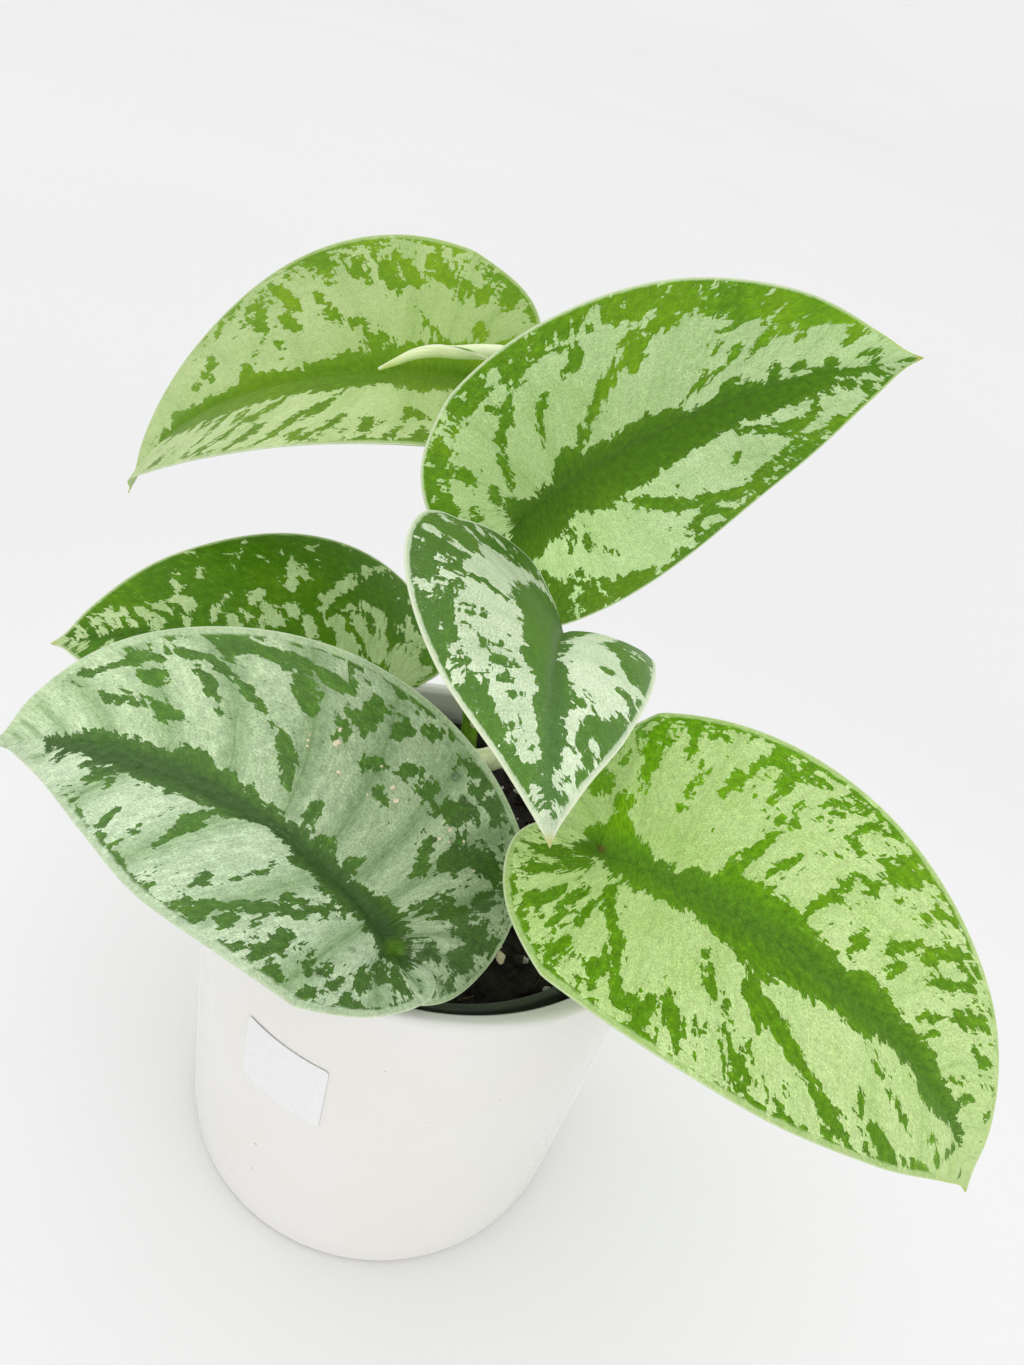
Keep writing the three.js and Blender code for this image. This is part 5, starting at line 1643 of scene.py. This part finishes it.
def half_values(leaf, half, vein, reach):
    """What the shader and the relief read at the points of one half, distances in mm, and the points' places."""
    x, y = flat_blade(leaf, half, vein, reach)
    root_x, root_y = flat_blade(leaf, half, vein, 0 * reach)
    edge_x, edge_y = flat_blade(leaf, half, vein, 0 * reach + 1)
    span = np.hypot(edge_x - root_x, edge_y - root_y)
    shifts = np.array(leaf.get("rib_shift", ((0, 0), (100, 0))), float)
    shift = np.interp(100 * vein, shifts[:, 0], shifts[:, 1]) * (1 if half == LEFT else -1)
    # Painted light and shade: each half's silver and green are drawn lighter or darker along the vein, blended across
    # the midrib.
    painted_lights = np.zeros((3, len(vein)))
    own = 0.5 + 0.5 * np.clip(reach * span / 5, 0, 1)
    for side, share in ((half, own), (1 - half, 1 - own)):
        marks = leaf["marks"][side]
        knots = np.array(marks.get("light", ((0, 1, 1),)), float)
        silver, green = (np.interp(100 * vein, knots[:, 0], knots[:, k]) for k in (1, 2))
        painted_lights += share * np.stack([silver, green, np.full(len(vein), marks.get("white", 0))])
    return {
        "place": bent_blade(leaf, half, vein, reach), "across": reach * span, "rib_distance": np.abs(y - shift),
        "edge_distance": np.where(reach > 0.999, 0, edge_gap(leaf, half, x, y)),
        "tip_distance": np.hypot(leaf["length"] - x, y), "base_distance": np.hypot(x, y),
        "silver_painted_light": painted_lights[0], "green_painted_light": painted_lights[1], "silver_white": painted_lights[2],
        "silver_field": silver_field(leaf, half, vein, reach, x, y, span),
    }


def quilt(blade, leaf):
    """Raises the face between the side veins and sinks it over the midrib."""
    places, normals = coordinates(blade), vertex_normals(blade)
    keys = ("vein_share", "reach_share", "rib_distance", "edge_distance", "side_vein")
    vein, reach, rib, edge, wave = (point_values(blade, key) for key in keys)
    pillows = np.clip(wave - np.clip(1.5 - rib, 0, 1), 0, 1) ** 0.7 - 0.6
    quilting = leaf["quilting"] * pillows * np.sin(math.pi * np.clip(reach, 0, 1)) ** 0.6 * np.clip(edge / 3, 0, 1)
    groove = -0.38 * np.exp(-((rib / 1.3) ** 2)) * np.clip((1 - vein) * 5, 0, 1)
    place_vertices(blade, places + normals * ((quilting + groove) * MM)[:, None])


def thicken(blade, settings, materials):
    """Gives a blade its flesh, thin at the margin, and the midrib below."""
    mesh = blade.data
    flesh = blade.vertex_groups.new(name="flesh")
    weight = np.round(0.3 + 0.7 * np.clip(point_values(blade, "edge_distance") / 2.5, 0, 1), 2)
    for level in np.unique(weight):
        flesh.add(np.nonzero(weight == level)[0].tolist(), float(level), "REPLACE")
    apply_modifier(
        blade, "SOLIDIFY", thickness=settings.thickness, offset=0, vertex_group="flesh",
        material_offset=1, material_offset_rim=2,
    )
    for material in materials:
        mesh.materials.append(material)
    under = np.zeros(len(mesh.vertices), bool)
    for polygon in mesh.polygons:
        if polygon.material_index == 1:
            under[list(polygon.vertices)] = True
    vein, rib = (point_values(blade, key) for key in ("vein_share", "rib_distance"))
    ends = np.clip((1 - vein) * 1.6, 0, 1) * np.clip(vein * 8, 0, 1)
    ridge = settings.rib_height * np.exp(-((rib / 1.5) ** 2)) * ends
    place_vertices(blade, coordinates(blade) + vertex_normals(blade) * (ridge * under)[:, None])
    blade.vertex_groups.clear()


def grow_blade(name, leaf, settings, order, materials):
    """One leaf: a grid laid out along its veins, bent into place, quilted and given its thickness."""
    columns, rows = 104, 168
    grid = {"x_subdivisions": columns, "y_subdivisions": rows, "size": 2}
    blade = added(name.replace("leaf_", "blade_"), bpy.ops.mesh.primitive_grid_add, **grid)
    mesh = blade.data
    flat = coordinates(blade)
    vein, reach = (flat[:, 1] + 1) / 2, np.abs(flat[:, 0])
    left = flat[:, 0] <= 0
    found = {}
    for half, mine in ((LEFT, left), (RIGHT, ~left)):
        for key, values in half_values(leaf, half, vein[mine], reach[mine]).items():
            found.setdefault(key, np.empty((len(flat), *values.shape[1:])))[mine] = values
    places, across, rib = found.pop("place"), found.pop("across"), found["rib_distance"]

    layer = mesh.uv_layers[0] if mesh.uv_layers else mesh.uv_layers.new(name="veins")
    layer.name = "veins"
    corners = np.empty(len(mesh.loops), int)
    mesh.loops.foreach_get("vertex_index", corners)
    signed = np.where(left, -1, 1) * across
    pattern = np.stack([vein * leaf["length"] * 0.145 + order * 17.3, signed * 0.1 + order * 5.7], 1)
    layer.data.foreach_set("uv", pattern[corners].astype(np.float32).ravel())
    waves = np.where(left, *leaf.get("side_veins", (settings.side_veins, settings.side_veins)))
    wave = np.abs(np.sin(math.pi * waves * vein)) + np.clip(1.5 - rib, 0, 1)
    for key, values in {**found, "vein_share": vein, "reach_share": reach, "side_vein": wave}.items():
        point_values(blade, key, values)
    place_vertices(blade, places)
    edit_whole(lambda: bpy.ops.mesh.remove_doubles(threshold=0.000003))
    quilt(blade, leaf)
    thicken(blade, settings, materials)
    for key in ("vein_share", "reach_share"):
        mesh.attributes.remove(mesh.attributes[key])
    return finished(blade, f"leaf_{leaf['finish']}", replaced=[name], angle=80)


class POTHOS_OT_leaves(bpy.types.Operator):
    """Grows the six splashed leaves"""

    bl_idname = "pothos.leaves"
    bl_label = "Leaves"

    def execute(self, context):
        settings = context.scene.pothos_leaves
        under = underside_material(settings.underside_color)
        margins = {
            "deep": margin_material("Blade margin", settings.hem_color),
            "light": margin_material("Blade margin light", settings.hem_color, settings.young_hem_color),
        }
        for order, (name, leaf) in enumerate(LEAVES.items()):
            title = "Blade " + name.replace("leaf_", "").replace("_", " ")
            top = blade_top_material(title, leaf, settings)
            grow_blade(name, leaf, settings, order, (top, under, margins[leaf["finish"]]))
        return {"FINISHED"}


# ---- What lies on the leaves ----


def on_blade(name, half, vein, reach):
    """A place on a grown blade's face and the way that the face looks there."""
    leaf = LEAVES[name]
    vein, reach = np.array([vein, vein + 1, vein]) / 100, np.array([reach, reach, reach + 1]) / 100
    here, ahead, aside = (Vector(p) for p in bent_blade(leaf, half, vein, reach))
    up = (ahead - here).cross(aside - here).normalized() * (1 if half == LEFT else -1)
    blade = bpy.data.objects[name.replace("leaf_", "blade_")]
    _, place, facing, _ = blade.closest_point_on_mesh(here + up * 0.003)
    return place, facing


def laid_on_leaves(name, pattern, spots, draw, squash, slot, material):
    """One piece made of copies of a pattern that lie on the blades at (leaf, half, vein, reach, size)."""
    copies = []
    for leaf, half, vein, reach, size in spots:
        place, facing = on_blade(leaf, half, vein, reach)
        stretch = Matrix.Diagonal((size * draw.uniform(0.85, 1.15), size, size * squash, 1 / MM)) * MM
        spun = Matrix.Rotation(draw.uniform(0, math.tau), 4, "Z")
        turn = facing.to_track_quat("Z", "Y").to_matrix().to_4x4() @ spun
        copies.append(copied(pattern, Matrix.Translation(place) @ turn @ stretch))
    piece = joined(name, copies)
    bpy.data.objects.remove(pattern)
    return finished(piece, slot, material, angle=70)


def water_material():
    board = new_board("Water")
    ripple = board.noise(board.object_place(), 700.0, 1.0)
    tone = board.mix(board.span(ripple, 0.3, 0.7), (0.97, 0.99, 0.97), (1, 1, 1))
    return board.surface(tone, ripple, (0.02, 0.05), Transmission_Weight=1.0, IOR=1.33)


class POTHOS_OT_grains_and_drops(bpy.types.Operator):
    """Lays a few grains and drops of water on the leaves"""

    bl_idname = "pothos.grains_and_drops"
    bl_label = "Grains and drops"

    def execute(self, context):
        draw = random.Random(SEED)
        grain = rough_pebble("leaf_grain", 2, 1.0, 0.8, 3)
        spots = [("leaf_front_left", RIGHT, *grain_at) for grain_at in GRAINS]
        laid_on_leaves("leaf_grains", grain, spots, draw, 0.8, "potting_mix", grain_material())
        drop = added("drop", bpy.ops.mesh.primitive_uv_sphere_add, segments=28, ring_count=16, radius=0.5)
        reshaped(drop, lambda x, y, z: (x, y, max(z, -0.12)))
        laid_on_leaves("water_drops", drop, DROPS, draw, 0.55, "leaf_deep", water_material())
        return {"FINISHED"}


# ---- Stage ----


def floor_material(color):
    board = new_board("Pale floor")
    place = board.object_place()
    clouds = board.noise(place, 1.4)
    grain = board.noise(place, 900.0)
    tone = board.mix(board.span(clouds, 0.35, 0.7), color, toned(color, 0.985))
    # Painted light: the floor is drawn lighter near the pot, against the shade that the plant casts there.
    away = board.add("VectorMath", {0: place}, operation="LENGTH").outputs["Value"]
    tone = board.mix(board.span(away, 0.42, 0.12), tone, toned(color, 1.1))
    return board.surface(tone, grain, (0.8, 0.9), 0.0002, 0.2, Specular_IOR_Level=0.2)


def soft_light(name, source, spread, strength):
    """An even light from one side, soft over a spread of degrees."""
    turn = Vector(source).to_track_quat("Z", "Y").to_euler()
    light = added(name, bpy.ops.object.light_add, type="SUN", location=source, rotation=turn)
    light.data.angle = math.radians(spread)
    light.data.energy = strength
    return light


class POTHOS_OT_stage(bpy.types.Operator):
    """Lays the floor, sets the light and places the camera"""

    bl_idname = "pothos.stage"
    bl_label = "Stage"

    def execute(self, context):
        settings = context.scene.pothos_stage
        floor = added("floor", bpy.ops.mesh.primitive_plane_add, size=14, location=(0, 0, -0.0004))
        bpy.ops.object.transform_apply(location=True)
        bpy.ops.object.mode_set(mode="EDIT")
        bpy.ops.mesh.select_mode(type="EDGE")
        bpy.ops.mesh.select_all(action="DESELECT")
        bpy.ops.object.mode_set(mode="OBJECT")
        for line in floor.data.edges:
            line.select = all(floor.data.vertices[i].co.y > 6.9 for i in line.vertices)
        bpy.ops.object.mode_set(mode="EDIT")
        bpy.ops.mesh.extrude_edges_move(TRANSFORM_OT_translate={"value": (0, 0, 6)})
        bpy.ops.object.mode_set(mode="OBJECT")
        apply_modifier(floor, "BEVEL", width=3.0, segments=24, limit_method="ANGLE")
        select_only(floor)
        bpy.ops.object.shade_smooth()
        floor.data.materials.append(floor_material(settings.floor_color))

        world = bpy.data.worlds.new("Soft daylight")
        bpy.context.scene.world = world
        world.use_nodes = True
        backdrop = world.node_tree.nodes["Background"]
        backdrop.inputs["Color"].default_value = (1, 1, 1, 1)
        backdrop.inputs["Strength"].default_value = settings.sky
        soft_light("window_light", (-0.15, 0.2, 1.0), 80, settings.key)
        soft_light("fill_light", (0.2, -1.0, 0.5), 100, settings.fill)

        camera = added("camera", bpy.ops.object.camera_add)
        turn = Matrix((CAMERA_RIGHT, CAMERA_UP, -CAMERA_AHEAD)).transposed().to_4x4()
        camera.matrix_world = Matrix.Translation(CAMERA_PLACE) @ turn
        camera.data.sensor_fit = "AUTO"
        camera.data.sensor_width = 36
        camera.data.lens = settings.focal_length
        camera.data.clip_start = 0.01
        context.scene.camera = camera
        context.scene.view_settings.view_transform = "Standard"
        return {"FINISHED"}


# ---- Add-on ----


OPERATORS = (
    POTHOS_OT_stage, POTHOS_OT_cover_pot, POTHOS_OT_label, POTHOS_OT_nursery_pot, POTHOS_OT_soil,
    POTHOS_OT_vines, POTHOS_OT_rolled_leaf, POTHOS_OT_leaves, POTHOS_OT_grains_and_drops,
)
SETTINGS = {
    "pothos_cover_pot": CoverPotSettings, "pothos_nursery_pot": NurseryPotSettings, "pothos_soil": SoilSettings,
    "pothos_vines": VineSettings, "pothos_leaves": LeafSettings, "pothos_stage": StageSettings,
}


class POTHOS_PT_panel(bpy.types.Panel):
    """Lists the steps and their settings"""

    bl_idname = "POTHOS_PT_panel"
    bl_label = "Satin pothos"
    bl_space_type = "VIEW_3D"
    bl_region_type = "UI"
    bl_category = "Pothos"

    def draw(self, context):
        for operator in OPERATORS:
            self.layout.operator(operator.bl_idname)
        for key in SETTINGS:
            box = self.layout.box()
            settings = getattr(context.scene, key)
            for name in settings.__annotations__:
                box.prop(settings, name)


def register():
    """Registers the settings, the operators and the panel."""
    for key, kind in SETTINGS.items():
        bpy.utils.register_class(kind)
        setattr(bpy.types.Scene, key, bpy.props.PointerProperty(type=kind))
    for kind in (*OPERATORS, POTHOS_PT_panel):
        bpy.utils.register_class(kind)


def unregister():
    """Takes away what register() added."""
    for kind in reversed((*OPERATORS, POTHOS_PT_panel)):
        bpy.utils.unregister_class(kind)
    for key, kind in reversed(SETTINGS.items()):
        delattr(bpy.types.Scene, key)
        bpy.utils.unregister_class(kind)


def main():
    """Builds the whole plant."""
    register()
    for operator in OPERATORS:
        group, name = operator.bl_idname.split(".")
        getattr(getattr(bpy.ops, group), name)()


if __name__ == "__main__":
    main()
